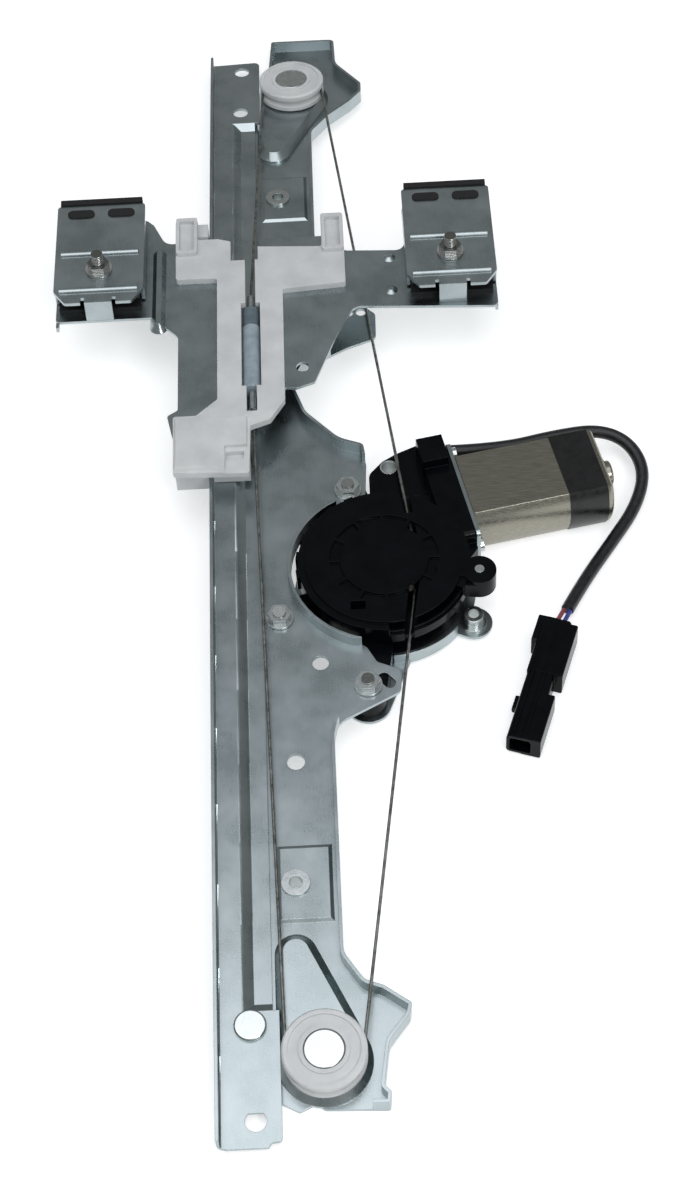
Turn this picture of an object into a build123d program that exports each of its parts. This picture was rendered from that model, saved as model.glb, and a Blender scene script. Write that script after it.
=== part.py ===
from build123d import *
import math
import os

# Window regulator of a front door, lying on its back as on a bench.
# Lengths are in millimetres. Until the pieces are written, X = 0 is the line through both pulleys,
# Y = 0 is the crest of the curved rail, Y grows towards the rail's top end and Z = 0 is the bench.

# Rail curve and sheet
arch_radius = 3000.0        # radius of the rail along its length, as the door glass
sheet = 1.5                 # steel sheet of rail, carrier and sash
fit_gap = 0.3               # air between pieces that move past each other
bolt_gap = 0.3              # radial room of a screw in a clearance hole
shaft_gap = 0.06            # radial running clearance of a shaft in its bore

# Guide rail
rail_left = -46.0
rail_right = -18.6
rail_top = 322.0
rail_bottom = -355.5
rail_corner = 3.0
rail_flange = 6.5           # height of the upturned left edge over the rail's face
channel_left = -29.5        # the pressed channel in which the lift cable runs
channel_right = -21.5
channel_slope = 4.5         # width of the slanting walls round the channel
bend = 1.6                  # middle radius of the sheet's bends
channel_top = 258.8
channel_bottom = -291.4
channel_depth = 3.0
ramp_root = 0.4             # depth by which the ramps at the channel's ends reach into the sheet
ramp_step = 0.03            # step of a ramp's crown below the rail's face
rail_hole_spots = ((-28.5, 312.7), (-29.4, 273.3))
rail_hole_radius = 4.1
tab_hole_x, tab_hole_y = -29.5, -344.0
tab_hole_radius = 4.6
tab_hole_flat = 3.4         # distance of the hole's flat from its centre
rail_rivet_x = -31.0
rail_rivet_y = -302.7
rail_rivet_head = 7.0
rail_rivet_shank = 3.0
collar_room = 0.04          # room of the collar at each curved sheet

# Carrier plate under the rail
plate_face = -(channel_depth + sheet)
plate_end = 339.7           # both ends of the plate touch the bench this far from the crest
plate_left = -33.0
plate_flange = 6.5
plate_edge_x = 9.5
drum_opening = 44.5         # radius of the opening round the drum housing
pad_height = 4.5            # embossed pads that carry the pulleys
pad_radius = 16.5
pad_tip_radius = 5.5
pad_tip_x = -10.9
pad_tip_reach = 49.0        # from pulley to the far end of its pad
pad_taper = 45.0
pad_reach = 2.0             # how far the pad's hollow is opened under the sheet
pad_knee = 0.8              # height at which the pad's wall starts to slant
pad_miter = 0.41            # share of the sheet by which the hollow's knee lies lower
rivet_nut_spots = ((-9.6, 198.7), (-10.1, -235.5))
rivet_nut_radius = 3.0
rivet_nut_wall = 2.3
rivet_nut_flange = 6.4
rivet_nut_flange_height = 1.2
rivet_nut_length = 10.0
nut_band_left, nut_band_right = -19.5, 7.5
nut_band_half = 20.0
nut_band_height = 0.9
nut_band_taper = 60.0
nut_band_reach = 1.0
plate_holes = ((-8.4, -173.8, 4.1), (4.4, -120.8, 3.9))
ear_holes = ((25.4, 104.8, 2.6), (32.0, 105.0, 2.6))
slot_x, slot_y = 34.6, -132.2
slot_length, slot_width = 9.6, 5.5

# Pulleys
pulley_ys = {"upper": 288.6, "lower": -318.2}
pulley_radius = 18.0
pulley_width = 10.0
pulley_groove = 16.2        # radius of the cable's middle in the groove
pulley_bore = 4.0
pulley_lift = 0.5           # running gap over the pad
pulley_rivet_head = 8.6
pulley_rivet_height = 1.6

# Cable
cable_radius = 0.75

# Drum, worm wheel and worm
drum_x, drum_y = 36.5, -69.0
drum_groove = 15.5
drum_rim = 17.0
drum_turns = 4
turn_pitch = 1.75           # distance of one cable turn from the next on the drum
wheel_teeth = 66
wheel_module = 1.0
worm_pitch_radius = 4.0
worm_pitch = 3.14
shaft_radius = 2.8           # armature shaft
spindle_radius = 4.0

# Levels of the drive, measured from the rail's crest
drum_top = 3.4
drum_low = -6.0
wheel_top = -8.0
wheel_low = -15.7
cover_top = 5.0
block_top = 5.0             # raised block beside the motor's plate
case_back = -20.0
base_top = -6.4
ear_top = -(channel_depth + 2 * sheet) - 0.2
lower_turn = -3.6
upper_turn = lower_turn + (drum_turns - 1) * turn_pitch

# Housing and motor
disc_radius = 41.0
hub_radius = 21.0
wall = 2.0
motor_angle = 11.0
can_radius = 23.0
can_flat = 13.3
can_start = 49.0            # along the motor's axis, from the foot of the drum's normal
can_length = 70.0
can_wall = 1.6
can_end_radius = 3.0
cap_depth = 4.5             # height of the bearing cap on the can's end
band_start, band_length = 47.4, 19.4
motor_plate_half = 30.2
motor_plate_thick = 2.0
bolt_spots = ((20.9, -18.5), (-14.0, -94.5), (25.9, -134.5))
bolt_radius = 3.0
bracket_lobe = 10.5
bracket_radius = 43.5
bracket_thick = 1.5
bracket_rim = 6.0           # height of the dish's turned-up rim
ear_radius = bracket_lobe - bracket_thick - fit_gap
bracket_lug = (77.5, -91.0)
housing_lug = (81.0, -78.5)
housing_lug_radius = 8.0
ring_hole = (41.5, -4.0)
ring_radius = 3.4
window_spot = (-13.4, -26.8)  # opening over the worm wheel, from the drum's axis
window_size = (7.0, 5.0)

# Sash with slider, clamps and tensioner, drawn flat on the plane that touches the rail at sash_y
sash_y = 72.0
sash_back = 9.0             # back face of the sash plate over the rail's face
travel_up = 95.0
travel_down = 270.0
cable_lift = 8.5            # height of the cable's ends over the rail's face
tensioner_x = -24.3
barrel_radius = 4.6
barrel_low, barrel_high = 38.5, 83.1
cap_high = 95.6
ferrule_radius = 1.9
ferrule_high, ferrule_low = 106.0, 25.5
slider_face = 14.0
slot_mouth = 129.0          # above this the slider's slot opens wide
prong_spots = ((-57.2, 147.5), (19.2, 145.5))
prong_width, prong_length, prong_rise = 11.0, 27.0, 2.4
foot_rise = 1.6
clamp_width = 46.0
clamp_height = 74.0
clamp_centres = {"left": (-101.5, 130.0), "right": (79.5, 130.0)}
clamp_bolt_drop = 13.0
pad_thick = 2.5
glass_gap = 6.0
bead_x, bead_length = -71.5, 62.0
bead_height, bead_taper = 3.0, 35.0
dimple_x, dimple_ys = 48.2, (128.8, 104.3)
sash_tip = 3.0              # small tabs bent back at the clamps' outer corners
jaw_thick = 1.8
clamp_bolt_radius = 3.0
stud_end = 6.0              # how far the clamp's screw stands out of its nut
strap_width = 14.0
bead_radius = 2.1
lug_step, lug_drop, lug_length, lug_width = 10.5, 7.0, 14.0, 5.5

# Loom
sleeve_radius = 3.2
wire_radius = 1.1


def drop(y, lift=0.0):
    """How far the arch has sunk below its crest at y, on the surface lifted over the rail's face."""
    radius = arch_radius + lift
    return radius - math.sqrt(radius**2 - y**2)


crest_z = drop(plate_end) - plate_face + sheet
wheel_radius = wheel_teeth * wheel_module / 2


def rail_plane(x, y, lift=0.0):
    """Plane that touches the arch at y, with Z along the rail's outward normal."""
    lean = math.asin(y / arch_radius)
    height = arch_radius + lift
    spot = (x, height * math.sin(lean), crest_z - arch_radius + height * math.cos(lean))
    return Plane(origin=spot, x_dir=(1, 0, 0), z_dir=(0, math.sin(lean), math.cos(lean)))


def curved_sheet(outline, low, high):
    """Sheet between two heights over the rail's curved face, cut to a flat outline."""
    reach = 60.0
    with BuildPart() as curved:
        with BuildSketch(Plane.XY.offset(crest_z - reach)):
            add(outline)
        extrude(amount=2 * reach)
        with Locations(Location((0, 0, crest_z - arch_radius), (0, 90, 0))):
            Cylinder(arch_radius + high, 400, mode=Mode.INTERSECT)
            Cylinder(arch_radius + low, 400, mode=Mode.SUBTRACT)
    return curved.part


def rounded_outline(corners):
    """Closed face through corners given as (x, y, radius of that corner)."""
    with BuildSketch() as face:
        with BuildLine():
            FilletPolyline(*[(x, y) for x, y, _ in corners], radius=[r for _, _, r in corners], close=True)
        make_face()
    return face.sketch


def box_between(x0, y0, x1, y1):
    """Rectangle from corner to corner."""
    with BuildSketch() as face:
        with Locations(((x0 + x1) / 2, (y0 + y1) / 2)):
            Rectangle(abs(x1 - x0), abs(y1 - y0))
    return face.sketch


pieces = {}


def keep(name, part):
    """Label a finished piece and keep it for writing."""
    part.label = name
    pieces[name] = part


# Guide rail: strip with an upturned left edge and a channel pressed along its right edge
rail_outline = rounded_outline([
    (rail_left, rail_bottom + 1.2, 0.8), (rail_left + 4.5, rail_bottom, 0.8), (rail_right - 6, rail_bottom, 0.8),
    (rail_right - 4.5, rail_bottom + 2.2, 0.8), (rail_right, rail_bottom + 2.6, 2), (rail_right, rail_top, rail_corner),
    (rail_left, rail_top - 1.5, 1)])


def section_plane(y):
    """Plane across the rail at y, with its origin on the rail's face and its own Y along the normal."""
    foot = rail_plane(0, y)
    return Plane(foot.origin, x_dir=foot.x_dir, z_dir=-foot.y_dir)


def sheet_section(*middle):
    """Section of bent sheet along its middle line, given as points across the rail and over its face."""
    with BuildSketch() as section:
        with BuildLine() as line:
            FilletPolyline(*middle, radius=bend) if len(middle) > 2 else Polyline(*middle)
        trace(line.line, line_width=sheet)
    return section.sketch


def pressed(section, low_y, high_y):
    """Section carried along the arch from low_y to high_y."""
    with BuildPart() as run:
        with BuildSketch(section_plane(low_y)):
            add(section)
        lean = math.degrees(math.asin(high_y / arch_radius) - math.asin(low_y / arch_radius))
        revolve(axis=Axis((0, 0, crest_z - arch_radius), (-1, 0, 0)), revolution_arc=lean)
    return run.part


edge_middle = rail_left + sheet / 2
flat_middle = -sheet / 2
slope_left = channel_left - channel_slope
flat_section = sheet_section((edge_middle, rail_flange), (edge_middle, flat_middle), (rail_right, flat_middle))
channel_section = sheet_section((edge_middle, rail_flange), (edge_middle, flat_middle), (slope_left, flat_middle),
                                (channel_left, flat_middle - channel_depth), (channel_right, flat_middle - channel_depth))
rail_runs = [
    pressed(flat_section, rail_bottom, channel_bottom - channel_slope),
    pressed(channel_section, channel_bottom - channel_slope, channel_top + channel_slope),
    pressed(flat_section, channel_top + channel_slope, rail_top)]
with BuildPart() as guide_rail:
    add(rail_runs)
    for end_y, outward in ((channel_bottom, -1), (channel_top, 1)):
        foot = rail_plane(slope_left, end_y)
        crown = outward * channel_slope
        past = outward * (channel_slope + ramp_root)
        with BuildSketch(Plane(foot.origin, x_dir=foot.y_dir, z_dir=foot.x_dir)):
            with BuildLine():
                Polyline((0, -channel_depth - ramp_root), (crown, -ramp_step), (past, -ramp_step),
                         (past, ramp_root / 2 - sheet), (0, plate_face + ramp_root), close=True)
            make_face()
        extrude(amount=channel_right - slope_left)
    with BuildSketch(Plane.XY.offset(-10)):
        add(box_between(rail_left - 20, rail_bottom - 20, rail_right + 20, rail_top + 20))
        add(rail_outline, mode=Mode.SUBTRACT)
    extrude(amount=60, mode=Mode.SUBTRACT)
    with Locations(*[rail_plane(x, y) for x, y in rail_hole_spots]):
        Hole(rail_hole_radius, depth=20)
    with BuildSketch(rail_plane(tab_hole_x, tab_hole_y)):
        Circle(tab_hole_radius)
        with Locations((0, tab_hole_flat + 5)):
            Rectangle(20, 10, mode=Mode.SUBTRACT)
    extrude(amount=20, both=True, mode=Mode.SUBTRACT)
    with Locations(rail_plane(rail_rivet_x, rail_rivet_y)):
        Hole(rail_rivet_shank + shaft_gap, depth=20)
keep("guide_rail", guide_rail.part)

# Rivet through rail and carrier, with the collar that holds them apart
with BuildPart() as rail_rivet:
    with Locations(rail_plane(rail_rivet_x, rail_rivet_y)):
        with Locations((0, 0, 1.1)):
            Cylinder(rail_rivet_head, 2.2)
        with Locations((0, 0, (plate_face - sheet) / 2)):
            Cylinder(rail_rivet_shank, sheet - plate_face)
        with Locations((0, 0, (plate_face - sheet) / 2)):
            Cylinder(rail_rivet_head - 1.5, -plate_face - sheet - 2 * collar_room)
        with Locations((0, 0, plate_face - sheet - 0.8)):
            Cylinder(rail_rivet_shank + 1.6, 1.6)
    fillet(rail_rivet.edges().filter_by(GeomType.CIRCLE).group_by(Axis.Z)[-1], 0.9)
keep("rail_rivet", rail_rivet.part)

# Carrier plate: stamping that holds both pulleys and the motor
plate_corners = [
    (plate_left, 250, 3), (-14, 296, 3), (-11.2, plate_end, 1.5), (25, plate_end - 0.5, 3), (25.3, 315, 10),
    (39.2, 294, 3), (39, 286, 2), (32.4, 277, 4), (19.6, 264, 10), (10, 250, 8), (plate_edge_x, 116, 3),
    (30, 113, 3), (39.5, 103, 4), (39.1, 85, 4), (24, 79, 4), (2, 66, 6), (-4.9, 50.9, 3), (1.6, 29.6, 14),
    (17.5, 11, 16), (29.5, 6, 3), (30.5, -3, 2), (29.3, -22.4, 2), (27, -64, 2), (24, -111, 2), (26.5, -113.5, 2),
    (30.6, -121.5, 3), (41.7, -126.5, 3), (41, -138.5, 4), (11.5, -154, 8), (plate_edge_x, -164, 6),
    (plate_edge_x, -272, 10), (18, -285, 5), (26, -288, 2), (37.5, -296.5, 1.5), (36.5, -301, 2),
    (27.2, -312.6, 8), (24.2, -332, 2), (27, -335, 1), (26.3, -plate_end, 1), (-1, 1.2 - plate_end, 2),
    (-4, 4.2 - plate_end, 1), (-11.5, 0.6 - plate_end, 2), (-18.3, 4.5 - plate_end, 2), (-24, 4.5 - plate_end, 1),
    (-40, 7 - plate_end, 3), (-40, -295, 3), (plate_left, -288, 3)]
plate_outline = rounded_outline(plate_corners)
with BuildSketch() as plate_face_sketch:
    add(plate_outline)
    with Locations((drum_x, drum_y)):
        Circle(drum_opening, mode=Mode.SUBTRACT)
with BuildSketch() as inner_outline:
    add(plate_outline)
    offset(amount=-sheet)
with BuildSketch() as edge_flange:
    add(plate_outline)
    add(inner_outline.sketch, mode=Mode.SUBTRACT)
    with Locations((drum_x, drum_y)):
        Circle(drum_opening + sheet, mode=Mode.SUBTRACT)
    for keep_out in ((-60, -400, -7, 312), (12, 74, 60, 125), (22, -40, 60, 0), (12, -160, 60, -100), (-60, -345, 19, -330)):
        add(box_between(*keep_out), mode=Mode.SUBTRACT)
with BuildSketch() as drum_flange:
    add(plate_outline)
    with Locations((drum_x, drum_y)):
        Circle(drum_opening + sheet, mode=Mode.INTERSECT)
        Circle(drum_opening, mode=Mode.SUBTRACT)
    add(box_between(-20, -112, 24, -30), mode=Mode.INTERSECT)


def pad_outline(side, grow):
    """Teardrop outline of a pulley's pad on its tangent plane, grown outwards."""
    toward_middle = -1 if side == "upper" else 1
    with BuildSketch() as face:
        Circle(pad_radius + grow)
        with Locations((pad_tip_x, toward_middle * pad_tip_reach)):
            Circle(pad_tip_radius + grow)
        make_hull()
    return face.sketch


def pad_form(side, inset, low, knee, high):
    """Form of a pulley's pad over the plate's face: upright from low to knee, then tapering up to high."""
    outline = pad_outline(side, high - knee - inset)
    with BuildPart() as form:
        with BuildSketch(rail_plane(0, pulley_ys[side], plate_face + low)):
            add(outline)
        extrude(amount=knee - low)
        with BuildSketch(rail_plane(0, pulley_ys[side], plate_face + knee)):
            add(outline)
        extrude(amount=high - knee, taper=pad_taper)
    return form.part


nut_band = box_between(nut_band_left, -nut_band_half, nut_band_right, nut_band_half)
pad_inset = pad_miter * sheet
pad_forms = [pad_form(side, 0, -sheet / 2, pad_knee, pad_height) for side in pulley_ys]
pad_hollows = [pad_form(side, pad_inset, -sheet - pad_reach, pad_knee - pad_inset, pad_height - sheet)
               for side in pulley_ys]
with BuildPart() as carrier_plate:
    add(curved_sheet(plate_face_sketch.sketch, plate_face - sheet, plate_face))
    add(curved_sheet(edge_flange.sketch, plate_face - sheet, plate_face + plate_flange))
    add(curved_sheet(drum_flange.sketch, plate_face - sheet, plate_face + plate_flange))
    add(pad_forms)
    add(pad_hollows, mode=Mode.SUBTRACT)
    for y in pulley_ys.values():
        with Locations(rail_plane(0, y)):
            Hole(pulley_bore + shaft_gap, depth=20)
    for x, y in rivet_nut_spots:
        root = rail_plane(0, y, plate_face - sheet / 2)
        with BuildSketch(root):
            add(nut_band)
        extrude(amount=nut_band_height + sheet / 2, taper=nut_band_taper)
        with BuildSketch(root.offset(-sheet / 2 - nut_band_reach)):
            add(nut_band)
        extrude(amount=nut_band_height + nut_band_reach, taper=nut_band_taper, mode=Mode.SUBTRACT)
        with Locations(rail_plane(x, y, 10)):
            Hole(rivet_nut_radius + rivet_nut_wall + shaft_gap, depth=30)
    with Locations(*[rail_plane(x, y, 10) for x, y in bolt_spots]):
        Hole(bolt_radius + bolt_gap, depth=30)
    for x, y, radius in plate_holes + ear_holes:
        with Locations(rail_plane(x, y, 10)):
            Hole(radius, depth=30)
    with Locations(rail_plane(rail_rivet_x, rail_rivet_y, 10)):
        Hole(rail_rivet_shank + shaft_gap, depth=30)
    with BuildSketch(rail_plane(slot_x, slot_y)):
        SlotOverall(slot_length, slot_width, rotation=-50)
    extrude(amount=20, both=True, mode=Mode.SUBTRACT)
keep("carrier_plate", carrier_plate.part)

# Planes of the drive, the motor and the sash
drive = rail_plane(drum_x, drum_y)
sash_plane = rail_plane(0, sash_y)
turn = math.radians(motor_angle)
shaft_offset = wheel_radius + worm_pitch_radius
foot_x = drum_x - shaft_offset * math.sin(turn)
foot_y = drum_y + shaft_offset * math.cos(turn)
motor_axis = Plane(origin=(foot_x, foot_y, can_flat), x_dir=(-math.sin(turn), math.cos(turn), 0),
                   z_dir=(math.cos(turn), math.sin(turn), 0))


def local(spot):
    """A point of the plan as seen from the drum's axis."""
    return (spot[0] - drum_x, spot[1] - drum_y)


def sink(y):
    """How far the plate has sunk at y under the plane that touches it at the drum."""
    return (y - drum_y) ** 2 / (2 * arch_radius)


# Pulleys: running on stepped rivets through the pads
for side, y in pulley_ys.items():
    foot = rail_plane(0, y)
    top_face = pulley_lift + pulley_width
    with BuildPart() as pulley:
        with Locations(foot.offset(pulley_lift)):
            Cylinder(pulley_radius, pulley_width, align=(Align.CENTER, Align.CENTER, Align.MIN))
        chamfer(pulley.edges().filter_by(GeomType.CIRCLE), 0.8)
        with BuildSketch(Plane(foot.offset(pulley_lift + pulley_width / 2).origin, x_dir=(1, 0, 0), z_dir=-foot.y_dir)):
            with BuildLine():
                Polyline((pulley_groove - cable_radius - 0.12, -1.0), (pulley_radius + 1, -2.4),
                         (pulley_radius + 1, 2.4), (pulley_groove - cable_radius - 0.12, 1.0), close=True)
            make_face()
        revolve(axis=Axis(foot.origin, foot.z_dir), mode=Mode.SUBTRACT)
        with Locations(foot.offset(top_face)):
            CounterBoreHole(pulley_bore, pulley_rivet_head + fit_gap, pulley_rivet_height + 0.4, depth=pulley_width)
        with BuildSketch(foot.offset(top_face)):
            Circle(pulley_radius - 2.6)
            Circle(pulley_rivet_head + 2.2, mode=Mode.SUBTRACT)
        extrude(amount=-0.7, mode=Mode.SUBTRACT)
    keep(f"{side}_pulley", pulley.part)
    rivet_base = plate_face - sheet + pad_height
    with BuildPart() as pulley_rivet:
        with Locations(foot.offset(rivet_base)):
            Cylinder(pulley_bore - shaft_gap, top_face - pulley_rivet_height - rivet_base,
                     align=(Align.CENTER, Align.CENTER, Align.MIN))
            Cylinder(pulley_bore + 2.4, 1.6, align=(Align.CENTER, Align.CENTER, Align.MAX))
        with Locations(foot.offset(top_face - pulley_rivet_height)):
            Cylinder(pulley_rivet_head, pulley_rivet_height, align=(Align.CENTER, Align.CENTER, Align.MIN))
        fillet(pulley_rivet.edges().filter_by(GeomType.CIRCLE).group_by(Axis.Z)[-1], 0.5)
    keep(f"{side}_pulley_rivet", pulley_rivet.part)

# Rivet nuts pressed into the carrier plate
with BuildPart() as rivet_nuts:
    for x, y in rivet_nut_spots:
        seat = rail_plane(x, y, plate_face + nut_band_height)
        with Locations(seat.offset(0.03)):
            Cylinder(rivet_nut_flange, rivet_nut_flange_height, align=(Align.CENTER, Align.CENTER, Align.MIN))
            Cylinder(rivet_nut_radius + rivet_nut_wall, rivet_nut_length, align=(Align.CENTER, Align.CENTER, Align.MAX))
            Hole(rivet_nut_radius, depth=30)
keep("rivet_nuts", rivet_nuts.part)

# Motor bracket: dished steel plate behind the gear case
bracket_top = case_back
with BuildSketch() as bracket_outline:
    Circle(bracket_radius)
    for spot in bolt_spots:
        with BuildSketch(mode=Mode.PRIVATE) as lobe:
            Circle(bracket_lobe * 2.4)
            with Locations(local(spot)):
                Circle(bracket_lobe)
            make_hull()
        add(lobe.sketch)
    with BuildSketch(mode=Mode.PRIVATE) as lobe:
        Circle(bracket_lobe)
        with Locations(local(bracket_lug)):
            Circle(9.0)
        make_hull()
    add(lobe.sketch)
with BuildPart() as motor_bracket:
    with BuildSketch(drive.offset(bracket_top - bracket_thick)):
        add(bracket_outline.sketch)
        with Locations(local(bracket_lug)):
            Circle(4.2, mode=Mode.SUBTRACT)
        with Locations(*[local(spot) for spot in bolt_spots]):
            Circle(bolt_radius + bolt_gap, mode=Mode.SUBTRACT)
    extrude(amount=bracket_thick)
    with BuildSketch(drive.offset(bracket_top)):
        Circle(bracket_radius)
        Circle(bracket_radius - bracket_thick, mode=Mode.SUBTRACT)
        with BuildLine():
            Polyline((0, 0), (2 * bracket_radius, -1.7 * bracket_radius), (bracket_radius, -3 * bracket_radius),
                     (0.15 * bracket_radius, -3 * bracket_radius), close=True)
        make_face(mode=Mode.INTERSECT)
    extrude(amount=bracket_rim)
keep("motor_bracket", motor_bracket.part)

with BuildPart() as lug_bushing:
    with Locations(drive.offset(bracket_top)):
        with Locations(local(bracket_lug)):
            Cylinder(6.4, 1.2, align=(Align.CENTER, Align.CENTER, Align.MIN))
            Cylinder(4.6, 7.0, align=(Align.CENTER, Align.CENTER, Align.MIN))
            Hole(2.6, depth=20)
keep("lug_bushing", lug_bushing.part)

# Gear case: black moulding with the worm wheel's chamber, the worm's bore and the ears for the bolts
tip_room = wheel_module + 0.6
chamber_radius = wheel_radius + tip_room
case_radius = chamber_radius + wall + 1.5
case_low = case_back
roof_low = wheel_top + 0.5
worm_room = worm_pitch_radius + 0.9 * wheel_module + 0.4
worm_back, worm_front = 8.0, 14.0
neck_start = can_start - motor_plate_thick - 14
screw_spots = ((motor_plate_half - 4.0, 6.5), (4.0 - motor_plate_half, -2.5))
with BuildSketch() as case_outline:
    Circle(case_radius)
    with BuildSketch(mode=Mode.PRIVATE) as gearbox:
        with BuildLine():
            FilletPolyline((-5.0, 0), (-5.0, 61), (2, 69), (9, 73.5), (20, 78.5), (33.8, 83.5), (38.5, 62), (46, 13),
                           (30, -10), radius=[6, 5, 5, 5, 1, 1, 1], close=False)
            Line((30, -10), (-5.0, 0))
        make_face()
    add(gearbox.sketch)
with BuildPart() as gear_housing:
    with BuildSketch(drive.offset(case_low)):
        add(case_outline.sketch)
    extrude(amount=base_top - case_low)
    with BuildSketch(motor_axis.offset(neck_start)):
        with Locations((-1.0, 0)):
            RectangleRounded(2 * motor_plate_half - 2, 2 * can_flat - 2.6, 3)
    extrude(amount=14)
    with BuildSketch(drive.offset(base_top)):
        with Locations((26.6, 66.5)):
            Rectangle(13, 15, rotation=motor_angle)
    extrude(amount=block_top - base_top)
    for spot in bolt_spots:
        with BuildSketch(drive.offset(case_low)):
            with Locations(local(spot)):
                Circle(ear_radius)
            with Locations((0.62 * local(spot)[0], 0.62 * local(spot)[1])):
                Circle(ear_radius)
            make_hull()
        extrude(amount=ear_top - sink(spot[1]) - 0.1 - case_low)
    with BuildSketch(motor_axis.offset(-worm_back - wall)):
        RectangleRounded(2 * (worm_room + 1.3), 2 * (worm_room + 1.3), 3)
    extrude(amount=neck_start + worm_back + wall)
    with BuildSketch(drive.offset(case_low)):
        Rectangle(300, 300)
    extrude(amount=-20, mode=Mode.SUBTRACT)
    with BuildSketch(motor_axis.offset(can_start - motor_plate_thick - 0.02)):
        Rectangle(200, 200)
    extrude(amount=60, mode=Mode.SUBTRACT)
    with BuildSketch(drive.offset(wheel_low - 0.5)):
        Circle(chamber_radius)
    extrude(amount=roof_low - wheel_low + 0.5, mode=Mode.SUBTRACT)
    with Locations(drive.offset(base_top + 1)):
        Hole(9.8, depth=base_top + 1 - wheel_low)
    with BuildSketch(drive.offset(roof_low - 1)):
        with Locations(window_spot):
            Rectangle(*window_size)
    extrude(amount=base_top - roof_low + 2, mode=Mode.SUBTRACT)
    with Locations(drive.offset(wheel_low)):
        Hole(spindle_radius + 0.02, depth=wheel_low - case_low - 2)
    with Locations(motor_axis.offset(-worm_back - 0.5)):
        Cylinder(worm_room, worm_back + worm_front + 1, align=(Align.CENTER, Align.CENTER, Align.MIN),
                 mode=Mode.SUBTRACT)
        Cylinder(shaft_radius + shaft_gap, 80, align=(Align.CENTER, Align.CENTER, Align.MIN), mode=Mode.SUBTRACT)
    with Locations(*[motor_axis.offset(can_start) * Location((*spot, 0)) for spot in screw_spots]):
        Hole(2.03, depth=9)
    with Locations(*[drive.offset(5) * Location((*local(spot), 0)) for spot in bolt_spots]):
        Hole(bolt_radius + bolt_gap, depth=60)
    with Locations(drive.offset(5) * Location((*local(ring_hole), 0))):
        Hole(ring_radius + 1.0, depth=60)
keep("gear_housing", gear_housing.part)

with BuildPart() as housing_ring:
    with Locations(drive.offset(case_low) * Location((*local(ring_hole), 0))):
        Cylinder(ring_radius + 0.98, base_top - case_low + 0.4, align=(Align.CENTER, Align.CENTER, Align.MIN))
        Cylinder(ring_radius, base_top - case_low + 0.4, align=(Align.CENTER, Align.CENTER, Align.MIN), mode=Mode.SUBTRACT)
keep("housing_ring", housing_ring.part)

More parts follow.
